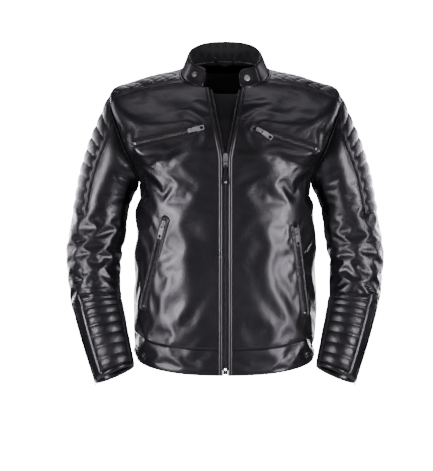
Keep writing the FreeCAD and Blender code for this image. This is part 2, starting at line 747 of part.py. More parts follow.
cuff_tapes, cuff_rows = [], []
for zipper in cuff_zips.values():
    for side in (-1, 1):
        cuff_tapes.append(zipper.put(tape_strip(side, 5, -zipper.length - 5, CUFF_TAPE_HALF)))
        cuff_rows.append(zipper.put(teeth_row(side, 6.5, -zipper.length - 6)))
save("cuff_zip_tapes", *cuff_tapes)
save("cuff_zip_teeth", *cuff_rows)

# Which way each pocket puller hangs: degrees round the slider's face from its own chain.
PULL_SWINGS = {
    "chest": {"right": 180, "left": 16},
    "hand": {"right": 0, "left": 0},
    "cuff": {"right": 180, "left": 180},
}
ZIP_SETS = {"chest": chest_zips, "hand": hand_zips, "cuff": cuff_zips}
for name, zips in ZIP_SETS.items():
    for side, zipper in zips.items():
        save(f"{name}_slider_{side}", zipper.put(slider_body(SLIDER_HALF, SLIDER_TALL)))
        pull = puller(PULL_LONG, PULL_HALF, PULL_SWINGS[name][side], window=PULL_WINDOW)
        save(f"{name}_pull_{side}", zipper.put(pull))


# ---------------------------------------------------------------- front zip

front_end = -front_zip.length
split_share = share_at(front_edge(0.55), ZIP_SPLIT + FRONT_SLIDER_TALL / 2 + 1)
strip_depths = (TAPE_DEPTH - CHAIN_THICK / 2, TAPE_DEPTH + CHAIN_THICK / 2)
tape_depths = (UPPER_TAPE_DEPTH - TAPE_THICK / 2, UPPER_TAPE_DEPTH + TAPE_THICK / 2)
row_top = FRONT_SLIDER_TALL / 2 + 0.5
upper_row = panel(
    body_point, opening_line(split_share, 0.98, ZIP_SLIT - ZIP_GAP),
    opening_line(split_share, 0.98, TOOTH_REACH - ZIP_GAP), strip_depths, (2, 16), 0.1,
)
upper_tape = panel(
    body_point, opening_line(split_share, 0.98, TOOTH_REACH - ZIP_GAP),
    opening_line(split_share, 0.98, TAPE_HALF - ZIP_GAP), tape_depths, (3, 16), 0.1,
)
for side, sign in (("left", 1), ("right", -1)):
    turned = (lambda shape: shape) if sign > 0 else mirrored
    row = front_zip.put(teeth_row(sign, row_top, front_end))
    tape = front_zip.put(tape_strip(sign, row_top, front_end))
    save(f"front_zip_teeth_{side}", row, turned(upper_row))
    save(f"front_zip_tape_{side}", tape, turned(upper_tape))
box_half = 4.8
save("front_zip_box", front_zip.put(block(-box_half, box_half, -1.0, 1.9, front_end - 8, front_end - 0.2)))
save("front_slider", front_zip.put(slider_body(FRONT_SLIDER_HALF, FRONT_SLIDER_TALL)))
link = puller(LINK_LONG, LINK_HALF, 0, ring=8.6, window=LINK_WINDOW)
save("front_pull_link", front_zip.put(link))

# The leather pull tab hangs from the link's lower bar by a loop, and carries a rivet near its rounded end.
bar_z = PULL_PIVOT[2] - LINK_LONG + 0.9
TAB_PIVOT = (0, PULL_PIVOT[1], bar_z)
loop_half = 1.9
loop = Part.makeCylinder(2.3, 2 * loop_half, Vec(-loop_half, PULL_PIVOT[1], bar_z), Vec(1, 0, 0))
loop = loop.cut(Part.makeCylinder(1.15, 6, Vec(-3, PULL_PIVOT[1], bar_z), Vec(1, 0, 0)))
leaf_top, leaf_end = bar_z - 2.9, bar_z - TAB_LONG
round_centre = leaf_end + TAB_HALF
bend = [
    (TAB_HALF * math.cos(math.radians(a)), round_centre + TAB_HALF * math.sin(math.radians(a)))
    for a in range(0, -181, -15)
]
leaf = prism([(-2.6, leaf_top), (2.6, leaf_top)] + bend, TAB_FACE, TAB_BACK)
neck = block(-loop_half, loop_half, TAB_FACE, PULL_PIVOT[1] - 1.25, leaf_top - 1, bar_z)
rivet = Part.makeCylinder(3.0, 1.2, Vec(0, TAB_FACE - 1.2, round_centre), Vec(0, 1, 0))
pull_tab = leaf.fuse([neck, loop]).removeSplitter()
save("front_pull_tab", front_zip.put(pull_tab), front_zip.put(rivet))
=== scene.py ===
"""The looks of the leather riding jacket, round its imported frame. The wearer faces -Y. Points in millimetres."""
import json
import math

import bpy
import numpy as np
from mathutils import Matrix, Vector, kdtree


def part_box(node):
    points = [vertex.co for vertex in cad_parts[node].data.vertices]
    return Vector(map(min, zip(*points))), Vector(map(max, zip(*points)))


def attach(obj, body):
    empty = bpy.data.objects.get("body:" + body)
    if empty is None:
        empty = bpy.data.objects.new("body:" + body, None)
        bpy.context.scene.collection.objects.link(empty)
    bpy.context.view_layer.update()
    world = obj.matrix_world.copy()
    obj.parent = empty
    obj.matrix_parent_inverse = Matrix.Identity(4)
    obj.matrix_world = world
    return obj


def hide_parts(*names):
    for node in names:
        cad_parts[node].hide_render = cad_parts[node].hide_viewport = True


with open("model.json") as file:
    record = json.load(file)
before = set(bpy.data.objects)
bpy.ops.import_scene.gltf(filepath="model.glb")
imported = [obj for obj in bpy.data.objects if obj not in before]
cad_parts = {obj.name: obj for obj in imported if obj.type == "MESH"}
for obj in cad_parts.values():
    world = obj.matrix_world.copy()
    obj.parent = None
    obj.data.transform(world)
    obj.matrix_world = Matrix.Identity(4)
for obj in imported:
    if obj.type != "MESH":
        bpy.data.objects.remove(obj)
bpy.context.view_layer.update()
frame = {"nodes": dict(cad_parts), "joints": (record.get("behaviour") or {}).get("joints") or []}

MM = 0.001

# ---------------------------------------------------------------- the garment's surface, as the frame has it

# One ring round the body per row, hem to neck: height at the side, front and back, half width, depth to the
# front and back in millimetres, and the squareness of the oval.
BODY_RINGS = np.array([
    (-619, -645, -628, 186, 122, 100, 2.5),
    (-563, -592, -572, 189, 122, 102, 2.5),
    (-470, -490, -475, 190, 122, 98, 2.5),
    (-380, -394, -380, 187, 122, 100, 2.5),
    (-300, -314, -290, 184, 122, 108, 2.6),
    (-243, -256, -225, 181, 122, 115, 2.8),
    (-180, -214, -170, 210, 122, 119, 3.0),
    (-112, -178, -126, 232, 121.4, 118, 3.0),
    (-63, -148, -92, 240, 115, 112, 2.9),
    (-46, -125, -62, 202, 104, 103, 2.6),
    (-34, -103, -36, 162, 95, 92, 2.4),
    (-27, -80, -13, 124, 84, 79, 2.3),
    (-24, -60, 6, 93, 73, 64, 2.3),
])
COLLAR_RINGS = np.array([BODY_RINGS[-1], (14, -20, 50, 76, 66, 60, 2.5)])
# The sleeve's rings below the armhole: outer x and z, inner x and z, middle y, half depth, forward tilt.
SLEEVE_RINGS = np.array([
    (269, -128, 184, -266, 2, 69, 0),
    (290, -180, 190, -277, 5, 68, 0),
    (306, -234, 197, -294, 7, 66, 0),
    (317, -292, 204, -320, 8, 64, 0),
    (327, -350, 209, -366, 8, 63, 2),
    (334, -398, 216, -400, 4, 62, 6),
    (331, -443, 219, -440, -4, 58, 10),
    (325, -490, 217, -481, -14, 55, 13),
    (313, -536, 211, -515, -25, 52, 14),
    (294, -597, 199, -572, -40, 49, 14),
    (269, -668, 186, -632, -57, 45, 14),
])
HEM_SEAM = 1 / 12
ARMPIT = 0.405
SHOULDER_TIP = 8 / 12
ARMHOLE_REACH = 21
YOKE_ARM_ANGLE = 54
YOKE_NECK_ANGLE = 66
CHEST_FLAT = np.array([(82, -153), (160, -175)])
FLAT_REACH = (21, 46)
FLAT_LIFT = 2.0
ZIP_SPLIT = -204
ZIP_GAP = 5.0
ZIP_OPEN = 33
PLACKET_WIDTH = 10
QUILT_ANGLES = (-58, 62)
QUILT_END = 0.40
FOREARM_START = 0.745
FOREARM_QUILT_ANGLES = (54, 152)
FOREARM_QUILT_END = 0.985
CUFF_ZIP_ANGLE = 22
CUFF_ZIP_ROOM = 6.4
CUFF_ZIP_TOP = 0.80
COLLAR_ENDS = (16, 334)
COLLAR_TAB_SEAM = 50
LEATHER = 2.0
TAPE_DEPTH = 2.6
TINY = 1e-9
FAR = 1e3


def unit(vectors):
    return vectors / np.maximum(np.linalg.norm(vectors, axis=-1, keepdims=True), TINY)


def arrays(*values):
    return np.broadcast_arrays(*(np.asarray(value, float) for value in values))


def spline_weights(share, count):
    """The weight of each of count rows in a natural cubic spline at each share."""
    inner = 4 * np.eye(count - 2) + np.eye(count - 2, k=1) + np.eye(count - 2, k=-1)
    pull = np.zeros((count - 2, count))
    for i in range(count - 2):
        pull[i, i:i + 3] = (6, -12, 6)
    second = np.zeros((count, count))
    if count > 2:
        second[1:-1] = np.linalg.solve(inner, pull)
    place = np.clip(share, 0, 1) * (count - 1)
    i = np.minimum(place.astype(int), count - 2)
    b = (place - i)[..., None]
    a = 1 - b
    one = np.eye(count)
    return a * one[i] + b * one[i + 1] + ((a ** 3 - a) * second[i] + (b ** 3 - b) * second[i + 1]) / 6


def on_rings(rings, angle, share):
    angle, share = arrays(angle, share)
    ring = spline_weights(share, len(rings)) @ rings
    z_side, z_front, z_back, half_width, front, back, square = np.moveaxis(ring, -1, 0)
    sine, cosine = np.sin(np.radians(angle)), np.cos(np.radians(angle))
    across = np.sign(sine) * np.abs(sine) ** (2 / square)
    along = -np.sign(cosine) * np.abs(cosine) ** (2 / square)
    depth = np.where(along < 0, front, back)
    tilt = (z_back - z_front) / 2
    dome = (z_front + z_back) / 2 - z_side
    return np.stack([half_width * across, depth * along, z_side + tilt * along + dome * along ** 2], -1)


def base_body(angle, share):
    return on_rings(BODY_RINGS, angle, share)


def ring_at(share):
    return spline_weights(np.asarray(share, float), len(BODY_RINGS)) @ BODY_RINGS


def angle_at(x, share):
    ring = ring_at(share)
    return np.sign(x) * np.degrees(np.arcsin((np.abs(x) / ring[..., 3]) ** (ring[..., 6] / 2)))


def share_at(x, z):
    low, high = 0.0, 0.9
    for _ in range(24):
        middle = (low + high) / 2
        if ring_at(middle)[3] > abs(x) and base_body(angle_at(x, middle), middle)[2] > z:
            high = middle
        else:
            low = middle
    return low


def base_front(x, z):
    share = share_at(x, z)
    return base_body(angle_at(x, share), share)


def smooth(t):
    t = np.clip(t, 0, 1)
    return t * t * (3 - 2 * t)


def chest_plane():
    """The plane of the flat leather round the chest zips, on the wearer's left: its normal and a point."""
    first, last = (base_front(*end) for end in CHEST_FLAT)
    along = CHEST_FLAT[1] - CHEST_FLAT[0]
    side = np.array([-along[1], along[0]]) / np.hypot(*along) * 18
    middle = CHEST_FLAT.mean(0)
    slope = base_front(*(middle + side)) - base_front(*(middle - side))
    return unit(np.cross(last - first, slope)), (first + last) / 2 + (0, -FLAT_LIFT, 0)


FLAT_NORMAL, FLAT_POINT = chest_plane()


def from_stretch(seen, start, end):
    """How far points are from a straight stretch, and how far along it the nearest place is."""
    long = np.hypot(*(end - start))
    along = (end - start) / long
    reach = np.clip((seen - start) @ along, 0, long)
    return np.linalg.norm(seen - start - reach[..., None] * along, axis=-1), reach / long


def body_mm(angle, share):
    """The body's surface, flat round the chest zips."""
    point = base_body(angle, share)
    seen = np.stack([np.abs(point[..., 0]), point[..., 2]], -1)
    away, _ = from_stretch(seen, *CHEST_FLAT)
    weight = 1 - smooth((away - FLAT_REACH[0]) / (FLAT_REACH[1] - FLAT_REACH[0]))
    weight = np.where(point[..., 1] < 0, weight, 0)
    offset = seen - FLAT_POINT[[0, 2]]
    y = -(offset @ FLAT_NORMAL[[0, 2]]) / FLAT_NORMAL[1] + FLAT_POINT[1]
    point[..., 1] += (y - point[..., 1]) * weight
    return point


def armhole_place(angle):
    turn = np.radians(angle)
    reach = ARMHOLE_REACH * np.sin(turn) * (1 - 0.2 * np.cos(turn))
    return 90 - reach, SHOULDER_TIP - (SHOULDER_TIP - ARMPIT) * (1 - np.cos(turn)) / 2


def sleeve_mm(angle, share):
    """The wearer's left sleeve: share 0 at the armhole and 1 at the cuff."""
    angle, share = arrays(angle, share)
    weights = spline_weights(share, len(SLEEVE_RINGS) + 1)
    point = weights[..., :1] * body_mm(*armhole_place(angle))
    cosine, sine = np.cos(np.radians(angle))[..., None], np.sin(np.radians(angle))[..., None]
    for i, (xo, zo, xi, zi, y, depth, lean) in enumerate(SLEEVE_RINGS):
        middle = np.array([(xo + xi) / 2, y, (zo + zi) / 2])
        out = np.array([(xo - xi) / 2, 0, (zo - zi) / 2])
        ahead = depth * np.array([0, -math.cos(math.radians(lean)), math.sin(math.radians(lean))])
        point = point + weights[..., i + 1:i + 2] * (middle + out * cosine + ahead * sine)
    return point


def front_edge(share):
    """Half the front opening's width: closed below the slider, a V above it."""
    z = base_body(0.0, share)[..., 2]
    over = (ZIP_OPEN - ZIP_GAP) / (BODY_RINGS[-1, 1] - ZIP_SPLIT) * (z - ZIP_SPLIT)
    return ZIP_GAP + (over + np.sqrt(over * over + 1.44)) / 2


# ---------------------------------------------------------------- the zips, from the frame's joints

# A puller's bar in its slider, from the tape's middle and the slider's centre.
PIVOT_OUT, PIVOT_DOWN = 3.7, 1.9


class Zip:
    """A straight zip: x across, y into the garment, z from the far end to the slider. Millimetres."""

    def __init__(self, slide, hinge):
        self.up = -np.array(slide["axis"])
        axis = np.array(hinge["axis"])
        self.across = unit(axis - self.up * (axis @ self.up))
        self.inward = np.cross(self.up, self.across)
        if self.inward[1] < 0:
            self.across, self.inward = -self.across, -self.inward
        pivot = np.array(hinge["pos_m"]) / MM
        self.origin = pivot + self.inward * PIVOT_OUT + self.up * PIVOT_DOWN
        self.axes = np.array([self.across, self.inward, self.up])
        self.length = slide["range_m"][1] / MM

    def put(self, points):
        """Points of the zip's own frame, in the garment's."""
        return self.origin + np.asarray(points, float) @ self.axes

    def local(self, points):
        return (points - self.origin) @ self.axes.T


joints = {joint["name"]: joint for joint in frame["joints"]}
zips = {}
for kind in ("chest", "hand", "cuff"):
    for side in ("left", "right"):
        zips[kind, side] = Zip(joints[f"{kind}_slider_{side}_run"], joints[f"{kind}_pull_{side}_hinge"])


def zip_distance(points):
    """How far each point is from the nearest pocket or cuff zip, in millimetres."""
    nearest = np.full(points.shape[:-1], FAR)
    for zipper in zips.values():
        local = zipper.local(points)
        reach = local[..., 2] - np.clip(local[..., 2], -zipper.length, 0)
        nearest = np.minimum(nearest, np.sqrt(local[..., 0] ** 2 + local[..., 1] ** 2 + reach ** 2))
    return nearest


# ---------------------------------------------------------------- folds: the leather settles near its shape

# Folds that show from the front, as x and z of points along each, then half width and height. Millimetres.
BODY_FOLDS = [
    ([(-190, -198), (-175, -220), (-154, -231), (-123, -237)], 10, 6),
    ([(-173, -250), (-154, -272), (-132, -298), (-110, -317), (-89, -321), (-67, -313), (-60, -288)], 10, 6),
    ([(-141, -315), (-110, -328), (-89, -349), (-78, -384), (-76, -427), (-80, -492)], 12, 5),
    ([(-93, -181), (-55, -194), (-16, -203)], 10, 2.5),
    ([(-182, -526), (-154, -524), (-119, -530), (-80, -522)], 7, 3.5),
    ([(-184, -552), (-145, -552), (-110, -543)], 6, 3),
    ([(-93, -60), (-76, -91), (-50, -121), (-28, -138)], 13, 2.5),
    ([(189, -211), (165, -231), (131, -242), (83, -250)], 10, 5),
    ([(183, -254), (165, -272), (148, -298), (118, -315), (83, -317)], 9, 6),
    ([(180, -293), (152, -317), (118, -336), (83, -336)], 8, 5),
    ([(174, -336), (148, -347), (118, -345)], 7, 3),
    ([(32, -272), (53, -306), (75, -341), (88, -367)], 12, 3),
    ([(92, -384), (81, -427), (92, -470), (114, -505)], 13, 4),
    ([(180, -505), (152, -526), (122, -530)], 7, 3.5),
    ([(183, -538), (148, -552), (114, -548)], 6, 3),
    ([(105, -99), (62, -121), (36, -138)], 12, 2.5),
    ([(17, -203), (83, -192), (131, -186)], 10, 2),
]
SLEEVE_FOLDS = {
    "right": [
        ([(237, -378), (283, -367), (320, -355)], 8, 6),
        ([(235, -384), (266, -401), (295, -392), (320, -374)], 7, 7),
        ([(230, -415), (262, -436), (295, -420), (316, -403)], 8, 8),
        ([(226, -447), (253, -459), (287, -449), (312, -426)], 7, 7),
        ([(224, -468), (258, -474), (291, -472), (316, -470)], 7, 7),
        ([(220, -486), (249, -500), (283, -500), (306, -488)], 7, 5),
        ([(207, -340), (228, -357), (241, -378)], 7, 5),
        ([(283, -318), (308, -342), (324, -352)], 11, 4),
        ([(228, -102), (237, -186), (245, -257)], 13, 3.5),
    ],
    "left": [
        ([(225, -403), (254, -385), (288, -380), (317, -384)], 8, 7),
        ([(229, -413), (262, -413), (296, -415), (315, -409)], 7, 6),
        ([(233, -445), (262, -459), (296, -453), (315, -436)], 8, 8),
        ([(229, -472), (258, -488), (292, -499), (313, -486)], 8, 7),
        ([(275, -328), (296, -352), (313, -374)], 12, 5),
        ([(204, -340), (221, -357), (227, -392)], 7, 4),
        ([(221, -152), (204, -215), (198, -257)], 11, 3),
        ([(250, -194), (239, -265), (235, -319)], 11, 3),
    ],
}


def fold_height(points, folds):
    """The height that the folds give each point, from its place seen from the front."""
    seen = points[..., [0, 2]]
    total = np.zeros(seen.shape[:-1])
    for line, width, height in folds:
        nearest = np.full(total.shape, FAR)
        taper = np.zeros(total.shape)
        line = np.array(line, float)
        steps = np.hypot(*np.diff(line, axis=0).T)
        done = np.concatenate([[0], np.cumsum(steps)]) / steps.sum()
        for k in range(len(line) - 1):
            away, reach = from_stretch(seen, line[k], line[k + 1])
            closer = away < nearest
            nearest = np.where(closer, away, nearest)
            share = done[k] + reach * (done[k + 1] - done[k])
            taper = np.where(closer, np.sin(np.pi * np.clip(0.12 + 0.76 * share, 0, 1)) ** 0.7, taper)
        t = nearest / width
        total += height * taper * (1 - 0.55 * t * t) * np.exp(-0.5 * t * t)
    return total


def ring_normals(points):
    """The normals of a grid whose rows close on themselves."""
    along = np.roll(points, -1, 0) - np.roll(points, 1, 0)
    return unit(np.cross(along, np.gradient(points, axis=1)))


# The cloth's threads: how many cells each spans round and up, and how hard it pulls.
THREADS = ((1, 0, 1.0), (0, 1, 1.0), (1, 1, 0.5), (-1, 1, 0.5), (2, 0, 0.45), (0, 2, 0.45))
KEPT_DRIFT, NEW_DRIFT = 0.82, 0.22
SLIP = 7.0  # how far the cloth may slide along its base, in millimetres


def settle(start, base, grow, low, high, rounds):
    """A cloth whose threads are longer than the base by the growths, held from low to high above the base.

    Its rows run round the garment and close on themselves.
    """
    normal = ring_normals(base)
    links = []
    for du, dv, pull in THREADS:
        length = np.linalg.norm(np.roll(base, -du, 0)[:, dv:] - base[:, :base.shape[1] - dv], axis=-1)
        share = (abs(du) * grow[0] + dv * grow[1]) / (abs(du) + dv)
        links.append((du, dv, pull, length * (1 + share[:, :base.shape[1] - dv])))
    x = start.copy()
    drift = np.zeros_like(x)
    for _ in range(rounds):
        push = np.zeros_like(x)
        for du, dv, pull, rest in links:
            end = x.shape[1] - dv
            away = np.roll(x, -du, 0)[:, dv:] - x[:, :end]
            length = np.linalg.norm(away, axis=-1)
            move = away * (pull * 0.5 * (length - rest) / np.maximum(length, 1e-6))[..., None]
            push[:, :end] += move
            push[:, dv:] -= np.roll(move, du, 0)
        drift = KEPT_DRIFT * drift + NEW_DRIFT * push
        x = x + drift
        away = x - base
        out = (away * normal).sum(-1)
        flat = away - out[..., None] * normal
        size = np.linalg.norm(flat, axis=-1)
        room = np.minimum(SLIP, 0.8 * (high - low))
        flat *= np.minimum(1, room / np.maximum(size, 1e-6))[..., None]
        x = base + flat + np.clip(out, low, high)[..., None] * normal
    return x


def bicubic(grid, u, v):
    """The smooth value at fractional places of a grid whose rows close on themselves."""
    iu, iv = np.floor(u).astype(int), np.floor(v).astype(int)
    fu, fv = u - iu, v - iv

    def weights(f):
        return (
            -0.5 * f + f ** 2 - 0.5 * f ** 3, 1 - 2.5 * f ** 2 + 1.5 * f ** 3,
            0.5 * f + 2 * f ** 2 - 1.5 * f ** 3, -0.5 * f ** 2 + 0.5 * f ** 3,
        )

    wu, wv = weights(fu), weights(fv)
    total = 0
    for a in range(4):
        row = (iu + a - 1) % grid.shape[0]
        for b in range(4):
            column = np.clip(iv + b - 1, 0, grid.shape[1] - 1)
            total = total + (wu[a] * wv[b])[..., None] * grid[row, column]
    return total


# The cloth is settled on a coarse grid, and then on a fine one: rounds, and how much longer the threads are.
LEVELS = ((700, 1.0), (260, 1.12))
FINE_STIR = 0.15  # the fine grid's disturbance as a share of the coarse one's


class Folded:
    """A surface of the garment with the leather's folds on it."""

    def __init__(self, shape, folds, zone, growth, limits, hold, cells, seed, stir):
        self.shape = shape
        self.moved = None
        noise = np.random.default_rng(seed)
        for (around, up), (rounds, longer) in zip(cells, LEVELS):
            turns, heights = np.arange(around) * 360 / around, np.linspace(0, 1, up + 1)
            angle, share = np.meshgrid(turns, heights, indexing="ij")
            base = shape(angle, share)
            normal = ring_normals(base)
            free = zone(angle, share, base)
            ridges = fold_height(base, folds) * smooth(-normal[..., 1] * 2) * free
            rough = noise.normal(size=(around // 3, up // 3 + 2, 1))
            rough = bicubic(rough, angle / 360 * (around // 3), share * (up // 3 + 1))[..., 0]
            if self.moved is None:
                start = base + normal * (ridges + stir * rough * free)[..., None]
            else:
                start = self(angle, share) + normal * (FINE_STIR * stir * rough * free)[..., None]
            low, high = ((limit + hold * ridges) * free for limit in limits)
            grow = [longer * g for g in growth(angle, share)]
            self.moved = settle(start, base, grow, low, high, rounds) - base

    def __call__(self, angle, share):
        angle, share = arrays(angle, share)
        u = (angle % 360) / 360 * self.moved.shape[0]
        return self.shape(angle, share) + bicubic(self.moved, u, share * (self.moved.shape[1] - 1))


def bump(t, middle, width):
    return np.exp(-((t - middle) / width) ** 2)


# How near each seam holds the leather, and over what distance it then comes free.
FRONT_HOLD, ARMHOLE_HOLD, BODY_ZIP_HOLD, SLEEVE_ZIP_HOLD = (16, 30), (3, 26), (12, 22), (10, 20)
UNDER_QUILT, UNDER_FOREARM = 0.96, 0.93  # how much of a sleeve's movement its quilting takes away


def freed(away, hold):
    return smooth((away - hold[0]) / hold[1])


def body_zone(angle, share, base):
    """How free the body's leather is: held at the hem, neck, armholes, front zip and pocket zips."""
    free = smooth((share - 0.004) / 0.05) * smooth((0.90 - share) / 0.12)
    free = free * np.maximum(freed(np.abs(base[..., 0]), FRONT_HOLD), base[..., 1] > 0)
    free = free * freed(zip_distance(base), BODY_ZIP_HOLD)
    arm = body_mm(*armhole_place(np.arange(0, 360, 6.0)))
    arm = np.concatenate([arm, arm * (-1, 1, 1)])
    away = np.full(free.shape, FAR)
    for point in arm:
        away = np.minimum(away, np.linalg.norm(base - point, axis=-1))
    return free * freed(away, ARMHOLE_HOLD)


def body_growth(angle, share):
    side = np.abs(np.sin(np.radians(angle)))
    waist = bump(share, 0.26, 0.16)
    chest = bump(share, 0.46, 0.10)
    return 0.002 + 0.004 * waist * side, 0.002 + 0.022 * waist * side ** 4 + 0.010 * chest * side ** 3


def sleeve_zone(angle, share, base):
    """How free a sleeve's leather is: held at the armhole, cuff and zip, and nearly still under the quilting."""
    free = smooth(share / 0.07) * smooth((1 - share) / 0.05)
    turn = (angle + 180) % 360 - 180
    quilt = smooth((turn - QUILT_ANGLES[0]) / 14 + 1) * smooth((QUILT_ANGLES[1] - turn) / 14 + 1)
    free = free * (1 - UNDER_QUILT * quilt * smooth((QUILT_END + 0.03 - share) / 0.06))
    first, last = FOREARM_QUILT_ANGLES[0] - 12, FOREARM_QUILT_ANGLES[1] + 12
    forearm = smooth((angle - first) / 14) * smooth((last - angle) / 14)
    free = free * (1 - UNDER_FOREARM * forearm * smooth((share - FOREARM_START + 0.015) / 0.04))
    for mirror in (1, -1):
        free = free * freed(zip_distance(base * (mirror, 1, 1)), SLEEVE_ZIP_HOLD)
    return free


def sleeve_growth(angle, share):
    elbow = bump(share, 0.575, 0.10)
    inner = 0.5 - 0.5 * np.cos(np.radians(angle))
    return 0.005 * elbow, 0.050 * elbow * (0.5 + 0.5 * inner)


# Lowest and highest face, how far the ridges move both, cells round and up on both grids, and the disturbance.
BODY_CLOTH = {"limits": (-5.0, 7.0), "hold": 0.65, "cells": ((132, 76), (264, 156)), "stir": 0.7}
SLEEVE_CLOTH = {"limits": (-3.0, 3.6), "hold": 0.72, "cells": ((54, 80), (112, 168)), "stir": 0.25}
body = Folded(body_mm, BODY_FOLDS, body_zone, body_growth, seed=3, **BODY_CLOTH)
sleeves = {
    side: Folded(sleeve_mm, SLEEVE_FOLDS[side], sleeve_zone, sleeve_growth, seed=seed, **SLEEVE_CLOTH)
    for side, seed in (("left", 11), ("right", 23))
}


# ---------------------------------------------------------------- skins: surfaces, lines and seams on them

class Skin:
    """A surface of angle and share, with its outward normals. The right side's is its mirror image."""

    def __init__(self, shape, mirror=False):
        self.shape = shape
        self.mirror = mirror

    def __call__(self, angle, share):
        return self.shape(angle, share)

    def mirrored(self, side):
        return Skin(self.shape, mirror=side == "right")

    def under(self, depth):
        """The skin at a depth under this one."""
        return Skin(lambda angle, share: self(angle, share) - self.normal(angle, share) * depth, self.mirror)

    def normal(self, angle, share):
        angle, share = arrays(angle, share)
        along = self.shape(angle + 0.4, share) - self.shape(angle - 0.4, share)
        above, below = np.minimum(share + 0.0015, 1), np.maximum(share - 0.0015, 0)
        return unit(np.cross(along, self.shape(angle, above) - self.shape(angle, below)))

    def beside(self, places, away):
        """The places at a distance to the left of a line, seen from outside, on the surface."""
        angle, share = places.T
        points = self(angle, share)
        tangent = np.gradient(points, axis=0)
        side = np.cross(self.normal(angle, share), tangent)
        side *= away / np.linalg.norm(side, axis=-1, keepdims=True)
        along = self.shape(angle + 0.5, share) - self.shape(angle - 0.5, share)
        up = (self.shape(angle, share + 0.002) - self.shape(angle, share - 0.002)) / 0.004
        aa, ab, bb = (along * along).sum(-1), (along * up).sum(-1), (up * up).sum(-1)
        ra, rb = (along * side).sum(-1), (up * side).sum(-1)
        spread = aa * bb - ab * ab
        return places + np.stack([(bb * ra - ab * rb) / spread, (aa * rb - ab * ra) / spread], -1)

    def even(self, places, step):
        """The same line, with its places evenly spaced."""
        points = self(*places.T)
        run = np.concatenate([[0], np.cumsum(np.linalg.norm(np.diff(points, axis=0), axis=1))])
        at = np.linspace(0, run[-1], max(int(run[-1] / step), 2) + 1)
        return np.stack([np.interp(at, run, places[:, k]) for k in (0, 1)], 1)

    def out(self, points):
        return points * (-1, 1, 1) if self.mirror else points


def straight(start, end, count=80):
    return np.linspace(start, end, count)


def upright(angle, shares, count=80):
    return straight((angle, shares[0]), (angle, shares[1]), count)


def armhole_arc(start, end, count=120):
    return np.stack(armhole_place(np.linspace(start, end, count)), -1)


def opening_places(low, high, extra=0.0, count=160):
    share = np.linspace(low, high, count)
    return np.stack([angle_at(front_edge(share) + extra, share), share], -1)


def chain(*lines):
    return np.concatenate([lines[0]] + [line[1:] for line in lines[1:]])


def along(line, breaks=None):
    """A line of places as a function of v from 0 to 1. Breaks say at which v each of its places comes."""
    if breaks is None:
        breaks = np.linspace(0, 1, len(line))
    return lambda v: (np.interp(v, breaks, line[:, 0]), np.interp(v, breaks, line[:, 1]))


def near_edges(length, count):
    """Places from 0 to 1 with rows close to both ends, where a seam rolls the leather down."""
    near = np.array([0.7, 1.6, 2.8, 4.2, 6.0]) / length
    if near[-1] > 0.4:
        return np.linspace(0, 1, count)
    middle = np.linspace(near[-1] * 1.5, 1 - near[-1] * 1.5, count)
    return np.concatenate([[0], near, middle, 1 - near[::-1], [1]])


class Seams:
    """Lines that press the leather in, with a furrow on both sides where the stitches pull."""

    def __init__(self):
        self.trees = []

    def add(self, skin, places, depth=1.4, width=2.0, furrow=0.4):
        points = skin(*skin.even(places, 1.2).T)
        tree = kdtree.KDTree(len(points))
        for i, point in enumerate(points):
            tree.insert(point, i)
        tree.balance()
        self.trees.append((tree, points.min(0) - 14, points.max(0) + 14, depth, width, furrow))
        return self

    def press(self, points):
        flat = points.reshape(-1, 3)
        total = np.zeros(len(flat))
        for tree, low, high, depth, width, furrow in self.trees:
            close = np.flatnonzero(((flat > low) & (flat < high)).all(-1))
            away = np.array([tree.find(flat[i])[2] for i in close])
            pressed = depth * np.exp(-(away / width) ** 2) + furrow * np.exp(-((away - 5) / 1.1) ** 2)
            total[close] = np.maximum(total[close], pressed)
        return total.reshape(points.shape[:-1])


# ---------------------------------------------------------------- meshes

def new_piece(name, points, faces, material, on="root"):
    """A mesh object from points in millimetres and faces of equal length, riding on a body."""
    mesh = bpy.data.meshes.new(name)
    faces = np.asarray(faces)
    count, size = faces.shape
    mesh.vertices.add(len(points))
    mesh.vertices.foreach_set("co", (np.asarray(points, float) * MM).ravel())
    mesh.loops.add(count * size)
    mesh.loops.foreach_set("vertex_index", faces.ravel().astype(np.int32))
    mesh.polygons.add(count)
    mesh.polygons.foreach_set("loop_start", np.arange(0, count * size, size, dtype=np.int32))
    mesh.polygons.foreach_set("use_smooth", np.ones(count, bool))
    mesh.update(calc_edges=True)
    mesh.validate()
    mesh.materials.append(material)
    made = bpy.data.objects.new(name, mesh)
    bpy.context.collection.objects.link(made)
    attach(made, on)
    return made


def shell_faces(keep, wrap=False):
    """Quads of a grid's outer side, inner side and every rim, where keep says which cells stay.

    With wrap the last row of cells comes back to the first row of points.
    """
    rows = keep.shape[0] if wrap else keep.shape[0] + 1
    columns = keep.shape[1] + 1
    index = np.arange(rows * columns).reshape(rows, columns)
    total = index.size
    following = np.roll(index, -1, 0) if wrap else index[1:]
    first = index if wrap else index[:-1]
    a, b, c, d = first[:, :-1], following[:, :-1], following[:, 1:], first[:, 1:]
    quads = [np.stack([a, b, c, d], -1)[keep], np.stack([a, d, c, b], -1)[keep] + total]
    before = np.roll(keep, 1, 0) if wrap else np.pad(keep, ((1, 0), (0, 0)))[:-1]
    after = np.roll(keep, -1, 0) if wrap else np.pad(keep, ((0, 1), (0, 0)))[1:]
    lower = np.pad(keep, ((0, 0), (1, 0)))[:, :-1]
    upper = np.pad(keep, ((0, 0), (0, 1)))[:, 1:]
    for gone, p, q in ((~lower, a, b), (~after, b, c), (~upper, c, d), (~before, d, a)):
        edge = keep & gone
        start, end = p[edge], q[edge]
        quads.append(np.stack([end, start, start + total, end + total], -1))
    return np.concatenate(quads)


def without_loose(points, faces):
    used = np.unique(faces)
    place = np.full(len(points), -1)
    place[used] = np.arange(len(used))
    return points[used], place[faces]


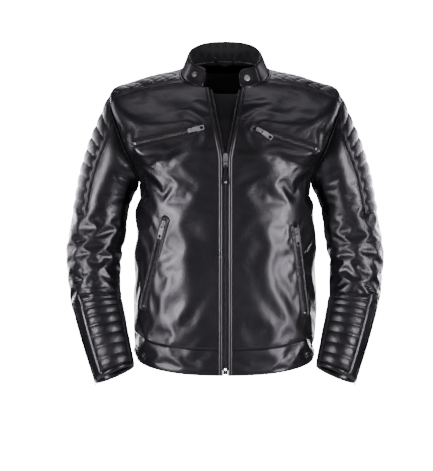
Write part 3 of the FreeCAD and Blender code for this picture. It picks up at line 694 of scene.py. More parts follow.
class Panel:
    """A panel of a skin: a grid of angles and shares, pressed in by seams and lifted by padding."""

    def __init__(self, skin, angle, share, seams=None, wrap=False):
        self.skin, self.wrap = skin, wrap
        self.angle, self.share = np.broadcast_arrays(angle, share)
        self.grid = skin(self.angle, self.share)
        self.normal = skin.normal(self.angle, self.share)
        self.lift = -seams.press(self.grid) if seams else np.zeros(self.grid.shape[:2])
        self.keep = np.ones((self.angle.shape[0] - (0 if wrap else 1), self.angle.shape[1] - 1), bool)

    @classmethod
    def between(cls, skin, left, right, seams=None, size=3.0):
        """A panel between two lines, each a function of v from 0 to 1."""
        def spread(u, v):
            (a0, b0), (a1, b1) = left(v), right(v)
            return a0 + (a1 - a0) * u, b0 + (b1 - b0) * u

        ends = np.linspace(0, 1, 15)
        rough = skin(*spread(ends[:, None], ends[None]))
        wide = np.linalg.norm(np.diff(rough, axis=0), axis=-1).sum(0).max()
        tall = np.linalg.norm(np.diff(rough, axis=1), axis=-1).sum(1).max()
        u, v = (near_edges(length, max(int(length / size), 4)) for length in (wide, tall))
        return cls(skin, *spread(u[:, None], v[None]), seams)

    @classmethod
    def patch(cls, skin, angles, shares, seams=None, size=3.0):
        """A panel between two angles and two shares."""
        left, right = (along(upright(angle, shares)) for angle in angles)
        return cls.between(skin, left, right, seams, size)

    def sides(self):
        """How far each point is from the first and last row and column, along the panel."""
        across = np.linalg.norm(np.diff(self.grid, axis=0), axis=-1)
        up = np.linalg.norm(np.diff(self.grid, axis=1), axis=-1)
        first = np.pad(np.cumsum(across, 0), ((1, 0), (0, 0)))
        low = np.pad(np.cumsum(up, 1), ((0, 0), (1, 0)))
        return first, first[-1:] - first, low, low[:, -1:] - low

    def roll(self, depth=1.2, width=1.8, sides=(0, 1, 2, 3)):
        """Rounds the named sides down."""
        away = self.sides()
        for side in sides:
            self.lift = self.lift - depth * np.exp(-(away[side] / width) ** 2)
        return self

    def window(self, zipper, half, end):
        """Leaves out the cells over a pocket zip."""
        middle = (self.grid[:-1, :-1] + self.grid[1:, 1:]) / 2
        local = zipper.local(self.skin.out(middle))
        inside = (np.abs(local[..., 0]) < half) & (np.abs(local[..., 1]) < 30)
        self.keep &= ~(inside & (local[..., 2] < end) & (local[..., 2] > -zipper.length - end))
        return self

    def build(self, name, material, thick=LEATHER, on="root", back=0.0):
        """The panel as a closed mesh; back is the share of the lift that its inner side follows."""
        outer = self.grid + self.normal * self.lift[..., None]
        inner = self.grid + self.normal * (back * np.minimum(self.lift, 0) - thick)[..., None]
        points = np.concatenate([outer.reshape(-1, 3), inner.reshape(-1, 3)])
        points, faces = without_loose(points, shell_faces(self.keep, self.wrap))
        if self.skin.mirror:
            faces = faces[:, ::-1]
        return new_piece(name, self.skin.out(points), faces, material, on)


TUBE_TURN = (0.21, 0.97, 0.13)  # a direction that no tube runs in


def tube(name, path, radius, material, sides=8, closed=False):
    """A round tube along a path, in millimetres."""
    tangent = unit(np.roll(path, -1, 0) - np.roll(path, 1, 0) if closed else np.gradient(path, axis=0))
    side = unit(np.cross(tangent, TUBE_TURN))
    other = np.cross(tangent, side)
    turn = np.arange(sides) * 2 * np.pi / sides
    ring = side[:, None] * np.cos(turn)[:, None] + other[:, None] * np.sin(turn)[:, None]
    points = (path[:, None] + radius * ring).reshape(-1, 3)
    index = np.arange(len(points)).reshape(len(path), sides)
    ahead = np.roll(index, -1, 0) if closed else index[1:]
    start = index if closed else index[:-1]
    faces = np.stack([start, np.roll(start, -1, 1), np.roll(ahead, -1, 1), ahead], -1).reshape(-1, 4)
    if not closed:
        points = np.concatenate([points, path[[0, -1]]])
        first, last = len(points) - 2, len(points) - 1
        caps = []
        for k in range(0, sides, 2):
            caps.append([first, index[0, (k + 2) % sides], index[0, k + 1], index[0, k]])
            caps.append([last, index[-1, k], index[-1, k + 1], index[-1, (k + 2) % sides]])
        faces = np.concatenate([faces, caps])
    return new_piece(name, points, faces, material)


def stamps(name, shape, places, material, on="root"):
    """Many copies of a small closed shape. Each place is a point and the shape's three axes there."""
    points, faces = shape
    origins = np.array([place[0] for place in places])
    axes = np.array([place[1] for place in places])
    made = origins[:, None] + np.einsum("pk,nkc->npc", points, axes)
    offsets = np.arange(len(places))[:, None, None] * len(points)
    faces = (faces[None] + offsets).reshape(-1, faces.shape[1])
    return new_piece(name, made.reshape(-1, 3), faces, material, on)


def ball(half, sides=6, rings=4):
    """A small ellipsoid of quads, with the given half sizes."""
    points = [(0.0, 0.0, -1.0)]
    for j in range(1, rings):
        polar = math.pi * j / rings - math.pi / 2
        for i in range(sides):
            turn = 2 * math.pi * i / sides
            wide = math.cos(polar)
            points.append((wide * math.cos(turn), wide * math.sin(turn), math.sin(polar)))
    points.append((0.0, 0.0, 1.0))
    faces = []
    for j in range(rings - 2):
        for i in range(sides):
            a, b = 1 + j * sides + i, 1 + j * sides + (i + 1) % sides
            faces.append((a, b, b + sides, a + sides))
    top = len(points) - 1
    high = 1 + (rings - 2) * sides
    for i in range(0, sides, 2):
        faces.append((0, 1 + (i + 2) % sides, 1 + i + 1, 1 + i))
        faces.append((top, high + i, high + i + 1, high + (i + 2) % sides))
    return np.array(points) * half, np.array(faces)


def brick(half, cut=0.3):
    """A box with its long edges cut off, made of quads."""
    x, y, z = half
    c = cut * min(x, y)
    half_ring = [(x, -y + c), (x, y - c), (x - c, y), (-x + c, y)]
    ring = half_ring + [(-px, -py) for px, py in half_ring]
    points = [(px, py, pz) for pz in (-z, z) for px, py in ring]
    faces = [(i, (i + 1) % 8, (i + 1) % 8 + 8, i + 8) for i in range(8)]
    for base, order in ((0, -1), (8, 1)):
        for quad in ((0, 1, 2, 7), (2, 3, 6, 7), (3, 4, 5, 6)):
            faces.append(tuple(base + k for k in quad[::order]))
    return np.array(points), np.array(faces)


STITCH = ball((0.36, 0.30, 1.45))
STITCH_PITCH = 3.9
threads = []


def stitch(skin, places, away=0.0, lift=-0.35):
    """A row of stitches beside a line of a skin."""
    line = skin.even(places, STITCH_PITCH)
    if away:
        line = skin.even(skin.beside(line, away), STITCH_PITCH)
    points = skin(*line.T)
    normal = skin.normal(*line.T)
    tangent = unit(np.gradient(points, axis=0))
    side = np.cross(normal, tangent) * (-1 if skin.mirror else 1)
    for point, n, t, s in zip(points, normal, tangent, side):
        threads.append((skin.out(point + n * lift), np.array([skin.out(s), skin.out(n), skin.out(t)])))


# ---------------------------------------------------------------- materials

class Look:
    """A procedural material."""

    def __init__(self, name, colour, rough, metal=0.0):
        self.material = bpy.data.materials.new(name)
        self.material.use_nodes = True
        self.tree = self.material.node_tree
        self.shader = next(node for node in self.tree.nodes if node.type == "BSDF_PRINCIPLED")
        self.shader.inputs["Base Color"].default_value = (*colour, 1)
        self.shader.inputs["Roughness"].default_value = rough
        self.shader.inputs["Metallic"].default_value = metal
        self.place = self.node("ShaderNodeTexCoord").outputs["Object"]

    def node(self, kind, settings=(), **inputs):
        made = self.tree.nodes.new(kind)
        for name, value in settings:
            setattr(made, name, value)
        for name, value in inputs.items():
            socket = made.inputs[name.replace("_", " ")]
            if isinstance(value, bpy.types.NodeSocket):
                self.tree.links.new(value, socket)
            else:
                socket.default_value = value
        return made

    def noise(self, scale, detail=3.0, distortion=0.0):
        noise = self.node(
            "ShaderNodeTexNoise", Vector=self.place, Scale=scale, Detail=detail, Distortion=distortion
        )
        return noise.outputs["Fac"]

    def cells(self, scale):
        settings = [("feature", "DISTANCE_TO_EDGE")]
        return self.node("ShaderNodeTexVoronoi", settings, Vector=self.place, Scale=scale).outputs["Distance"]

    def between(self, value, low, high, start=0.0, end=1.0):
        ends = {"From_Min": low, "From_Max": high, "To_Min": start, "To_Max": end}
        return self.node("ShaderNodeMapRange", Value=value, **ends).outputs["Result"]

    def bump(self, *layers):
        """Bumps laid over each other: heights with their depth in millimetres."""
        normal = None
        for height, depth in layers:
            made = self.node("ShaderNodeBump", Height=height, Strength=1.0, Distance=depth * MM)
            if normal:
                self.tree.links.new(normal, made.inputs["Normal"])
            normal = made.outputs["Normal"]
        self.tree.links.new(normal, self.shader.inputs["Normal"])
        return self

    def drive(self, socket, value):
        self.tree.links.new(value, self.shader.inputs[socket])
        return self

    def tint(self, value, first, second):
        mix = self.node("ShaderNodeMix", [("data_type", "RGBA")])
        mix.inputs[6].default_value = (*first, 1)
        mix.inputs[7].default_value = (*second, 1)
        self.tree.links.new(value, mix.inputs[0])
        self.tree.links.new(mix.outputs[2], self.shader.inputs["Base Color"])
        return self


def leather_look(name, colour, worn, rough, grain, crease, gloss=0.55):
    """Leather: pebbled grain, finer creases, a gloss that varies, and a paler tint where it has worn."""
    look = Look(name, colour, 0.4)
    look.shader.inputs["Specular IOR Level"].default_value = gloss
    pebbles = look.between(look.cells(720.0), 0.0, 0.35)
    fine = look.noise(260.0, 4.0, 0.6)
    folds = look.noise(62.0, 3.0, 1.3)
    look.bump((folds, crease), (fine, crease * 0.32), (pebbles, grain))
    patches = look.noise(9.0, 3.0, 0.4)
    look.drive("Roughness", look.between(patches, 0.3, 0.72, rough - 0.06, rough + 0.09))
    return look.tint(look.between(look.noise(21.0, 5.0, 0.8), 0.45, 0.8), colour, worn).material


def woven_look(name, colour, second, across, up, depth, rough):
    """Cloth with threads across and up, as many to the metre as given; its colour falls to the second colour in
    the low gaps between the threads, a painted shade.
    """
    look = Look(name, colour, rough)
    waves = []
    for direction, count in (("X", across), ("Z", up)):
        wave = look.node(
            "ShaderNodeTexWave", [("bands_direction", direction)],
            Vector=look.place, Scale=count / 20, Distortion=0.6,
        )
        waves.append(wave.outputs["Fac"])
    both = look.node("ShaderNodeMath", [("operation", "MAXIMUM")])
    look.tree.links.new(waves[0], both.inputs[0])
    look.tree.links.new(waves[1], both.inputs[1])
    look.bump((look.noise(40.0), depth * 2), (both.outputs[0], depth))
    # Painted shade: the colour drops to the second, darker one where the weave's bump is low, between the threads.
    return look.tint(both.outputs[0], second, colour).material


def metal_look(name, colour, rough, scratches):
    look = Look(name, colour, rough, 1.0)
    look.bump((look.noise(900.0, 2.0), 0.004), (look.noise(140.0, 4.0, 0.5), scratches))
    return look.drive(
        "Roughness", look.between(look.noise(220.0, 4.0), 0.3, 0.7, rough - 0.06, rough + 0.08)
    ).material


# Colour, worn colour, roughness, and the depths of grain and creases.
SHELL = leather_look("shell_leather", (.0062, .0058, .0067), (.0105, .0098, .0112), 0.33, 0.05, 0.16)
QUILTED = leather_look("quilted_leather", (.0068, .0064, .0072), (.0115, .0110, .0120), 0.38, 0.05, 0.14)
INNER = leather_look("inner_leather", (.0035, .0033, .0036), (.0055, .0052, .0058), 0.5, 0.04, 0.10, gloss=0.2)
TRIM = leather_look("trim_leather", (.0095, .0090, .0100), (.0160, .0150, .0165), 0.29, 0.04, 0.08)
# Each cloth's second colour is painted shade in the gaps between its threads.
KNIT = woven_look("collar_knit", (0.011, 0.011, 0.012), (0.003, 0.003, 0.0035), 380, 300, 0.22, 0.95)
LINING = woven_look("lining_cloth", (0.009, 0.009, 0.010), (0.005, 0.005, 0.006), 900, 900, 0.05, 0.62)
TAPE = woven_look("zip_tape_weave", (0.016, 0.016, 0.018), (0.006, 0.006, 0.007), 1400, 1400, 0.08, 0.8)
THREAD = Look("thread", (0.020, 0.020, 0.022), 0.55).material
FOAM = Look("armour_foam", (0.045, 0.048, 0.055), 0.9)
FOAM = FOAM.bump((FOAM.cells(260.0), 0.25)).material
NICKEL = metal_look("nickel", (0.60, 0.59, 0.58), 0.33, 0.03)
DARK_NICKEL = metal_look("dark_nickel", (0.115, 0.105, 0.10), 0.40, 0.03)
GUNMETAL = metal_look("gunmetal", (0.075, 0.072, 0.075), 0.42, 0.03)


# ---------------------------------------------------------------- the body's leather

def declare(piece, slot, *nodes):
    if nodes:
        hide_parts(*nodes)
    return piece


def declare_one_of_pair(piece, slot, side, node):
    """Hides the CAD node that holds both pieces of a pair, once, when the left piece is made."""
    return declare(piece, slot, *([node] if side == "left" else []))


def other_half(line):
    return np.stack([360 - line[:, 0], line[:, 1]], 1)


whole = Skin(body)
body_skins = {
    "left": whole,
    "right": Skin(lambda angle, share: body(-angle, share) * (-1, 1, 1), mirror=True),
}
SIDE_SEAM = upright(90, (HEM_SEAM, ARMPIT))
ARMHOLE = armhole_arc(0, 360, 240)
HEM_LINE = straight((0, HEM_SEAM), (180, HEM_SEAM), 200)
YOKE_FRONT = straight(armhole_place(YOKE_ARM_ANGLE), (YOKE_NECK_ANGLE, 1))
YOKE_REAR = straight(armhole_place(-YOKE_ARM_ANGLE), (180 - YOKE_NECK_ANGLE, 1))
FRONT_OUTER = chain(SIDE_SEAM, armhole_arc(180, YOKE_ARM_ANGLE), YOKE_FRONT)
BACK_OUTER = chain(SIDE_SEAM, armhole_arc(180, 360 - YOKE_ARM_ANGLE), YOKE_REAR)
ARMPIT_BREAK, YOKE_BREAK = 0.46, 0.80  # where along a panel's height the armpit and the yoke's seam come


def height_breaks(*counts):
    ends = (0, ARMPIT_BREAK, YOKE_BREAK, 1)
    return chain(*(np.linspace(low, high, count) for low, high, count in zip(ends, ends[1:], counts)))


OUTER_BREAKS = height_breaks(80, 120, 80)
OPENING_BREAKS = height_breaks(160, 160, 160)
OPENING = chain(
    opening_places(HEM_SEAM, ARMPIT), opening_places(ARMPIT, YOKE_BREAK), opening_places(YOKE_BREAK, 1)
)
HEM_EDGE = 0.004
DIAMOND_LINE, DIAMOND_DEPTH, DIAMOND_PUFF = 1.7, 0.9, 0.25
ZIP_WINDOW = (7.2, 8.0)  # half the width of the leather's opening over a zip, and how far it passes the ends
DIAMOND = 24  # the yoke's quilting lines, this far apart


def body_seams(skin):
    seams = Seams()
    for places, depth, width, furrow in (
        (SIDE_SEAM, 1.6, 2.2, 0.4), (ARMHOLE, 2.2, 3.0, 0.5),
        (YOKE_FRONT, 1.6, 2.2, 0.5), (YOKE_REAR, 1.6, 2.2, 0.5),
        (HEM_LINE, 1.6, 2.2, 0.5),
        (straight((YOKE_NECK_ANGLE - 62, 1), (180, 1), 160), 1.8, 2.4, 0.3),
    ):
        seams.add(skin, places, depth, width, furrow)
    return seams


def quilted_yoke(skin, seams):
    """The yoke, its lower edge on the armhole's arc instead of the straight line between its corners."""
    flat = Panel.between(skin, along(YOKE_FRONT), along(YOKE_REAR), size=2.6)
    u = (flat.angle - flat.angle[:1]) / (flat.angle[-1:] - flat.angle[:1])
    arc_angle, arc_share = armhole_place(YOKE_ARM_ANGLE * (1 - 2 * u))
    chord_angle = flat.angle[:1, :1] + (flat.angle[-1:, :1] - flat.angle[:1, :1]) * u
    low = flat.share[:1, :1]
    fall = 1 - (flat.share - low) / (1 - low)
    angle, share = flat.angle + (arc_angle - chord_angle) * fall, flat.share + (arc_share - low) * fall
    yoke = Panel(skin, angle, share, seams)
    across, _, up, _ = yoke.sides()
    inside = smooth((np.minimum.reduce(yoke.sides()) - 6) / 6)
    for diagonal in (up + 0.8 * across, up - 0.8 * across):
        groove = np.abs((diagonal / DIAMOND + 0.5) % 1 - 0.5) * DIAMOND * 0.78
        yoke.lift = yoke.lift - inside * (DIAMOND_DEPTH * np.exp(-(groove / DIAMOND_LINE) ** 2) - DIAMOND_PUFF)
    return yoke


for side, skin in body_skins.items():
    seams = body_seams(skin)
    front = Panel.between(skin, along(OPENING, OPENING_BREAKS), along(FRONT_OUTER, OUTER_BREAKS), seams)
    for kind in ("chest", "hand"):
        front.window(zips[kind, side], *ZIP_WINDOW)
    declare(front.build(f"front_{side}", SHELL), "shell_leather", f"front_panel_{side}")
    yoke = quilted_yoke(skin, seams)
    declare(yoke.build(f"yoke_{side}", QUILTED), "quilted_leather", f"shoulder_yoke_{side}")
    hem = Panel.between(skin, along(opening_places(0, HEM_SEAM)), along(upright(90, (0, HEM_SEAM))), seams)
    hem.roll(1.0, 2.0, (2,))
    declare(hem.build(f"hem_{side}", SHELL), "shell_leather", f"hem_band_{side}")
    for line, aways in (
        (straight((4, HEM_SEAM), (90, HEM_SEAM)), (5, -4)), (straight((4, HEM_EDGE), (90, HEM_EDGE)), (4,)),
        (YOKE_FRONT, (5, -5)), (YOKE_REAR, (5, -5)), (armhole_arc(178, YOKE_ARM_ANGLE), (6,)),
        (armhole_arc(322, 182), (-6,)), (SIDE_SEAM, (5,)),
    ):
        for away in aways:
            stitch(skin, line, away)

back_seams = body_seams(whole)
for line in (SIDE_SEAM, ARMHOLE, YOKE_REAR):
    back_seams.add(whole, other_half(line), 1.8, 2.4)
back = Panel.between(
    whole, along(BACK_OUTER, OUTER_BREAKS), along(other_half(BACK_OUTER), OUTER_BREAKS), back_seams
)
declare(back.build("back", SHELL), "shell_leather", "back_panel")
hem = Panel.patch(whole, (90, 270), (0, HEM_SEAM), back_seams).roll(1.0, 2.0, (2,))
declare(hem.build("hem_back", SHELL), "shell_leather", "hem_band_back")
for share, away in ((HEM_SEAM, 5), (HEM_SEAM, -4), (HEM_EDGE, 4)):
    stitch(whole, straight((92, share), (268, share), 200), away)


# ---------------------------------------------------------------- sleeves and their quilting

SLEEVE_TOP = 0.004
SLEEVE_LONG = 560  # about a sleeve's length in millimetres
ZIP_LOW, ZIP_HIGH = CUFF_ZIP_ANGLE - CUFF_ZIP_ROOM, CUFF_ZIP_ANGLE + CUFF_ZIP_ROOM
CUFF_SLIT = CUFF_ZIP_TOP - 0.012
QUILT = (SLEEVE_TOP, QUILT_END)
FOREARM = (FOREARM_START, FOREARM_QUILT_END)
QUILT_BACK, QUILT_FRONT = (upright(angle, QUILT) for angle in QUILT_ANGLES)
QUILT_FOOT = straight((QUILT_ANGLES[0], QUILT_END), (QUILT_ANGLES[1], QUILT_END))
FOREARM_EDGES = [upright(angle, FOREARM) for angle in FOREARM_QUILT_ANGLES]
FOREARM_TOP, FOREARM_FOOT = (
    straight((FOREARM_QUILT_ANGLES[0], share), (FOREARM_QUILT_ANGLES[1], share)) for share in FOREARM
)
# Piece, node, angles, shares, first channel's start, channels, puff, valley, cell size, stitches' depth.
QUILTS = (
    ("shoulder_quilt", "sleeve_quilt", QUILT_ANGLES, QUILT, 0.012, 9, 2.8, 1.2, 2.2, 1.7),
    ("forearm_padding", "forearm_quilt", FOREARM_QUILT_ANGLES, FOREARM, FOREARM_START, 8, 2.3, 1.0, 2.0, 1.3),
)
PADDING = 5.0


def divided(breaks, size, near):
    """Numbers from the first break to the last, evenly spread, each break met and rows close to it."""
    values = []
    for start, end in zip(breaks[:-1], breaks[1:]):
        count = max(int((end - start) / size), 2)
        values.append(start + (end - start) * near_edges((end - start) / near, count)[:-1])
    return np.concatenate(values + [[breaks[-1]]])


def channels(panel, low, high, count, height, valley):
    """Padding in channels across a panel, from one share to another, each puffed up between its stitches."""
    place = np.clip((panel.share - low) / (high - low), 0, 1) * count
    puff = np.abs(np.sin(np.pi * place)) ** 0.62
    soft = smooth((np.minimum.reduce(panel.sides()) - 1.0) / 11) ** 0.8
    wobble = 0.25 * np.sin(panel.angle * 0.11 + place * 2.2) + 0.1 * np.sin(panel.angle * 0.29 + place * 5.1)
    puckers = 0.10 * np.sin(panel.angle * 1.3 + 1.7 * np.sin(place * 3)) * np.exp(-((puff - 0.4) / 0.25) ** 2)
    panel.lift = panel.lift + soft * ((height + wobble) * puff - valley + puckers)
    return panel


def sleeve_shell(skin, seams):
    """The sleeve's plain leather, left open over both quilted areas and the cuff's zip."""
    start, end = QUILT_ANGLES
    angles = divided((start, ZIP_LOW, ZIP_HIGH, end, *FOREARM_QUILT_ANGLES, start + 360), 2.7, 1.0)
    heights = (SLEEVE_TOP, QUILT_END, FOREARM_START, CUFF_SLIT, FOREARM_QUILT_END, 1)
    shares = divided(heights, 0.0052, 1 / SLEEVE_LONG)
    arm = Panel(skin, angles[:-1, None], shares[None], seams, wrap=True)
    middle = (arm.angle + (arm.angle[1, 0] - arm.angle[0, 0]) / 1e3)[:, :-1]
    height = (arm.share[:, :-1] + arm.share[:, 1:]) / 2
    for (low, high), (start, end) in (
        (QUILT_ANGLES, (0, QUILT_END)), (FOREARM_QUILT_ANGLES, FOREARM),
        ((ZIP_LOW, ZIP_HIGH), (CUFF_SLIT, 1)),
    ):
        arm.keep &= ~((middle > low) & (middle < high) & (height > start) & (height < end))
    arm.lift = arm.lift - 1.2 * np.exp(-((1 - arm.share) * SLEEVE_LONG / 2.0) ** 2)
    return arm


for side in sleeves:
    skin = Skin(sleeves[side]).mirrored(side)
    seams = Seams()
    for line in (QUILT_FRONT, QUILT_BACK, QUILT_FOOT, *FOREARM_EDGES, FOREARM_TOP, FOREARM_FOOT):
        seams.add(skin, line, 1.7, 2.2, 0.5)
    seams.add(skin, straight((0, SLEEVE_TOP), (360, SLEEVE_TOP), 200), 2.6, 3.0, 0.5)
    seams.add(skin, straight((200, 0.03), (196, 1), 160), 1.2, 2.0, 0.35)
    declare(sleeve_shell(skin, seams).build(f"sleeve_shell_{side}", SHELL), "shell_leather", f"sleeve_{side}")
    for piece, node, angles, shares, start, count, puff, valley, size, depth in QUILTS:
        quilt = Panel.patch(skin, angles, shares, seams, size)
        channels(quilt, start, shares[1], count, puff, valley)
        quilt = quilt.build(f"{piece}_{side}", QUILTED, PADDING)
        declare(quilt, "quilted_leather", f"{node}_{side}")
        for k in range(1, count):
            share = start + (shares[1] - start) * k / count
            stitch(skin, straight((angles[0] + 3, share), (angles[1] - 3, share)), 0, -depth)
    for line, away in (
        (QUILT_FRONT, 5), (QUILT_BACK, -5), (QUILT_FOOT, -5), (FOREARM_EDGES[0], -5), (FOREARM_EDGES[1], 5),
        (FOREARM_TOP, 5), (straight((ZIP_HIGH, 0.985), (ZIP_LOW + 360, 0.985), 160), 0),
    ):
        stitch(skin, line, away)


# ---------------------------------------------------------------- collar

COLLAR_THICK = 3.0
COLLAR_LOW = 0.03
COLLAR_SEAM = straight((289, COLLAR_LOW), (286, 1))
COLLAR_FLARE, COLLAR_DROP = 4.2, 8.0
KNIT_DEPTH = 5.4
KNIT_RIBS = 2.6


def collar_mm(angle, share):
    """The collar's outer surface, a little wavy, its front ends flared at the foot and hanging lower."""
    angle, share = arrays(angle, share)
    turn = np.radians(angle)
    wave = (0.9 * np.sin(3 * turn + 0.6) + 0.6 * np.sin(7 * turn + 2) + 0.3 * np.sin(15 * turn)) * share
    out = np.stack([np.sin(turn), -np.cos(turn), 0 * turn], -1)
    front = smooth((70 - np.abs((angle + 180) % 360 - 180)) / 45)
    flare = COLLAR_FLARE * front * smooth((0.34 - share) / 0.34)
    drop = COLLAR_DROP * front * (1 - share) ** 2
    point = on_rings(COLLAR_RINGS, angle, share) + out * (wave + flare)[..., None]
    return point - drop[..., None] * np.array((0, 0, 1.0))


def rounded_end(panel, side, corner):
    """The panel with the corners of its first or last end drawn in, so that the end is rounded."""
    away = panel.sides()
    pull = corner * (1 - np.sqrt(1 - np.clip(1 - away[side] / corner, 0, 1) ** 2))
    middle = (panel.share[:, -1:] + panel.share[:, :1]) / 2
    squeeze = 1 - 2 * pull / (away[2] + away[3])
    return Panel(panel.skin, panel.angle, middle + (panel.share - middle) * squeeze)


collar = Skin(collar_mm)
shell = Panel.patch(collar, (COLLAR_TAB_SEAM, COLLAR_ENDS[1]), (COLLAR_LOW, 1), size=2.0)
shell = rounded_end(shell, 1, 14)
shell.lift = shell.lift - Seams().add(collar, COLLAR_SEAM, 1.2, 1.8).press(shell.grid)
shell.roll(1.4, 2.0)
declare(shell.build("collar", TRIM, COLLAR_THICK), "shell_leather", "collar_shell")
for places, away in (
    (straight((COLLAR_TAB_SEAM + 2, 1), (COLLAR_ENDS[1] - 12, 1), 200), -4),
    (straight((COLLAR_TAB_SEAM + 2, COLLAR_LOW), (COLLAR_ENDS[1] - 6, COLLAR_LOW), 200), 5),
    (upright(COLLAR_ENDS[1], (0.25, 0.75)), -4), (straight((289, 0.06), (286, 0.95)), 3),
):
    stitch(collar, places, away, 0.0)

# The knit faces the neck, so its grid runs the other way round.
inner = Panel.patch(collar, (COLLAR_TAB_SEAM + 1, COLLAR_ENDS[1] - 3), (0.05, 0.98), size=2.0)
knit = Panel(collar, inner.angle[::-1], inner.share[::-1])
knit.grid = knit.grid - knit.normal * KNIT_DEPTH
knit.normal = -knit.normal
knit.lift = 0.7 * np.abs(np.sin(knit.angle * KNIT_RIBS))
declare(knit.build("collar_knit_lining", KNIT, 1.6), "knit_fabric", "collar_lining")

tab = Panel.patch(collar, (COLLAR_ENDS[0], COLLAR_TAB_SEAM - 0.4), (0.10, 0.93), size=1.6)
tab = rounded_end(tab, 0, 13).roll(1.2, 1.8)
tab = tab.build("collar_tab_leather", TRIM, COLLAR_THICK, on="collar_tab")
declare(tab, "shell_leather", "collar_tab")

neck = base_body(np.linspace(33, 325, 220), 0.996) + (0, 0, 0.6)
declare(tube("neck_piping", neck, 1.7, TRIM), "trim_leather")

# Cords inside each armhole seam close it between the sleeve and the body.
armhole_turns = np.linspace(0, 360, 140, endpoint=False)
inner_seam = Skin(base_body).under(2.7)(*armhole_place(armhole_turns))
sleeve_head = Skin(sleeve_mm).under(3.4)(armhole_turns, 0.007)
for side, mirror in (("left", 1), ("right", -1)):
    for name, centre, radius in (
        ("armhole_piping", inner_seam, 2.3), ("sleeve_head_piping", sleeve_head, 3.0)
    ):
        piping = tube(f"{name}_{side}", centre * (mirror, 1, 1), radius, INNER, closed=True)
        declare(piping, "trim_leather")


# ---------------------------------------------------------------- front strips, straps and the wind flap

PLACKET_RISE = 2.4
FLAP_DEPTH = 7.4
STRAP_LONG = 26  # degrees
STUD = ball((4.2, 4.2, 1.5), 16, 8)

for side, skin in body_skins.items():
    inner, outer = (along(opening_places(0.004, 0.985, extra, 400)) for extra in (0.0, PLACKET_WIDTH))
    strip = Panel.between(skin, inner, outer, size=2.2)
    across = strip.sides()[0]
    share = across / across[-1:]
    strip.lift = strip.lift + 0.2 + PLACKET_RISE * (1 - (2 * share - 1) ** 2)
    strip.lift = strip.lift - 0.4 * np.exp(-(((share - 0.8) * PLACKET_WIDTH) / 0.8) ** 2)
    declare(strip.build(f"placket_{side}", TRIM, 0.15), "trim_leather", f"front_placket_{side}")
    stitch(skin, opening_places(0.006, 0.983, 8.0, 400), 0, 1.4)

left, right = (along(opening_places(0.03, 0.96, extra, 300)) for extra in (-60, 34))
flap = Panel.between(Skin(base_body).under(FLAP_DEPTH), left, right, size=3.2)
x, z = flap.grid[..., 0], flap.grid[..., 2]
from_seam = x - 8 - 0.02 * (z - ZIP_SPLIT)
flap.lift = flap.lift + 0.8 * np.sin(z / 17 + x / 31) * smooth((flap.share - 0.04) / 0.1)
flap.lift = flap.lift + 1.3 * np.exp(-(from_seam / 1.6) ** 2) - 0.8 * np.exp(-((from_seam - 4) / 1.2) ** 2)
flap.roll(0.8, 2.0)
declare(flap.build("wind_flap_leather", INNER, 1.6), "trim_leather", "wind_flap")

stud_places = []
for start, side in ((58, "left"), (276, "right")):
    strap = Panel.patch(whole.under(-0.3), (start, start + STRAP_LONG), (0.018, 0.052), size=2.0)
    strap = rounded_end(rounded_end(strap, 0, 9), 1, 9)
    strap.lift = strap.lift + 2.2
    strap = strap.roll(0.8, 1.6).build(f"side_strap_{side}", TRIM, 0.1)
    declare_one_of_pair(strap, "trim_leather", side, "side_straps")
    for at in (0.14, 0.36, 0.86):
        place = start + STRAP_LONG * at, 0.035
        out = whole.normal(*place)
        across = unit(np.cross(out, (0, 0, 1.0)))
        stud_places.append((body(*place) + out * 2.7, np.array([across, np.cross(out, across), out])))
declare(stamps("strap_studs", STUD, stud_places, GUNMETAL), "dark_metal")


# ---------------------------------------------------------------- zips

TOOTH = brick((2.0, 0.95, 0.62), 0.5)
TOOTH_PITCH = 2.5
MESHED = 1.25  # how far a tooth's middle is from the zip's, where both rows mesh
STOP = brick((2.6, 1.5, 1.6), 0.4)
TAPE_THICK = 0.6
SLIDER_LOW, SLIDER_HIGH = 3.0, 6.0  # the teeth part inside the slider, between these heights
TAPE_HALF = {"chest": 8.6, "hand": 8.6, "cuff": 8.0}
WELT_PAST = 7.0
# Across a lip, from its inner foot to its outer one: how far from the zip's middle, and how deep.
WELT_PROFILE = [
    (4.5, 0.5), (4.45, -1.2), (4.7, -2.2), (5.4, -2.72), (6.2, -2.6), (6.8, -2.2), (7.1, -2.0), (7.4, -2.2),
    (8.0, -2.62), (8.8, -2.76), (9.7, -2.5), (10.5, -1.7), (11.0, -0.4), (11.0, 0.6),
]


def welt(zipper, name):
    """The leather lips round a pocket zip: two rolls with a stitched groove between them."""
    low, high = -zipper.length - WELT_PAST, WELT_PAST
    turns = np.radians(np.arange(10, 180, 10))
    lengths = np.linspace(low, high, int((high - low) / 2.5))
    rings = []
    for sign, end, row in ((1.0, high, lengths), (-1.0, low, lengths[::-1])):
        rings += [(z, sign, 0.0) for z in row]
        rings += [(end, sign * math.cos(turn), sign * math.sin(turn)) for turn in turns]
    points = []
    for z, out_x, out_z in rings:
        ripple = 0.03 * math.sin(z * 0.31) + 0.018 * math.sin(z * 0.93 + 1)
        for reach, depth in WELT_PROFILE:
            points.append((reach * out_x, depth - (ripple if depth < -1.5 else 0), z + reach * out_z))
    index = np.arange(len(points)).reshape(len(rings), len(WELT_PROFILE))
    ahead = np.roll(index, -1, 0)
    faces = np.stack([index, ahead, np.roll(ahead, -1, 1), np.roll(index, -1, 1)], -1).reshape(-1, 4)
    return new_piece(name, zipper.put(points), faces, TRIM)


def join_strips(name, strips, material):
    """One mesh from several strips, each a grid of points with the step to its other side."""
    points, faces, total = [], [], 0
    for grid, step in strips:
        quads = shell_faces(np.ones((grid.shape[0] - 1, grid.shape[1] - 1), bool))
        points += [grid.reshape(-1, 3), (grid + step).reshape(-1, 3)]
        faces.append(quads + total)
        total += 2 * grid.shape[0] * grid.shape[1]
    return new_piece(name, np.concatenate(points), np.concatenate(faces), material)


def flat_grid(x, y, z):
    return np.stack(np.broadcast_arrays(x[:, None], y, z[None]), -1)


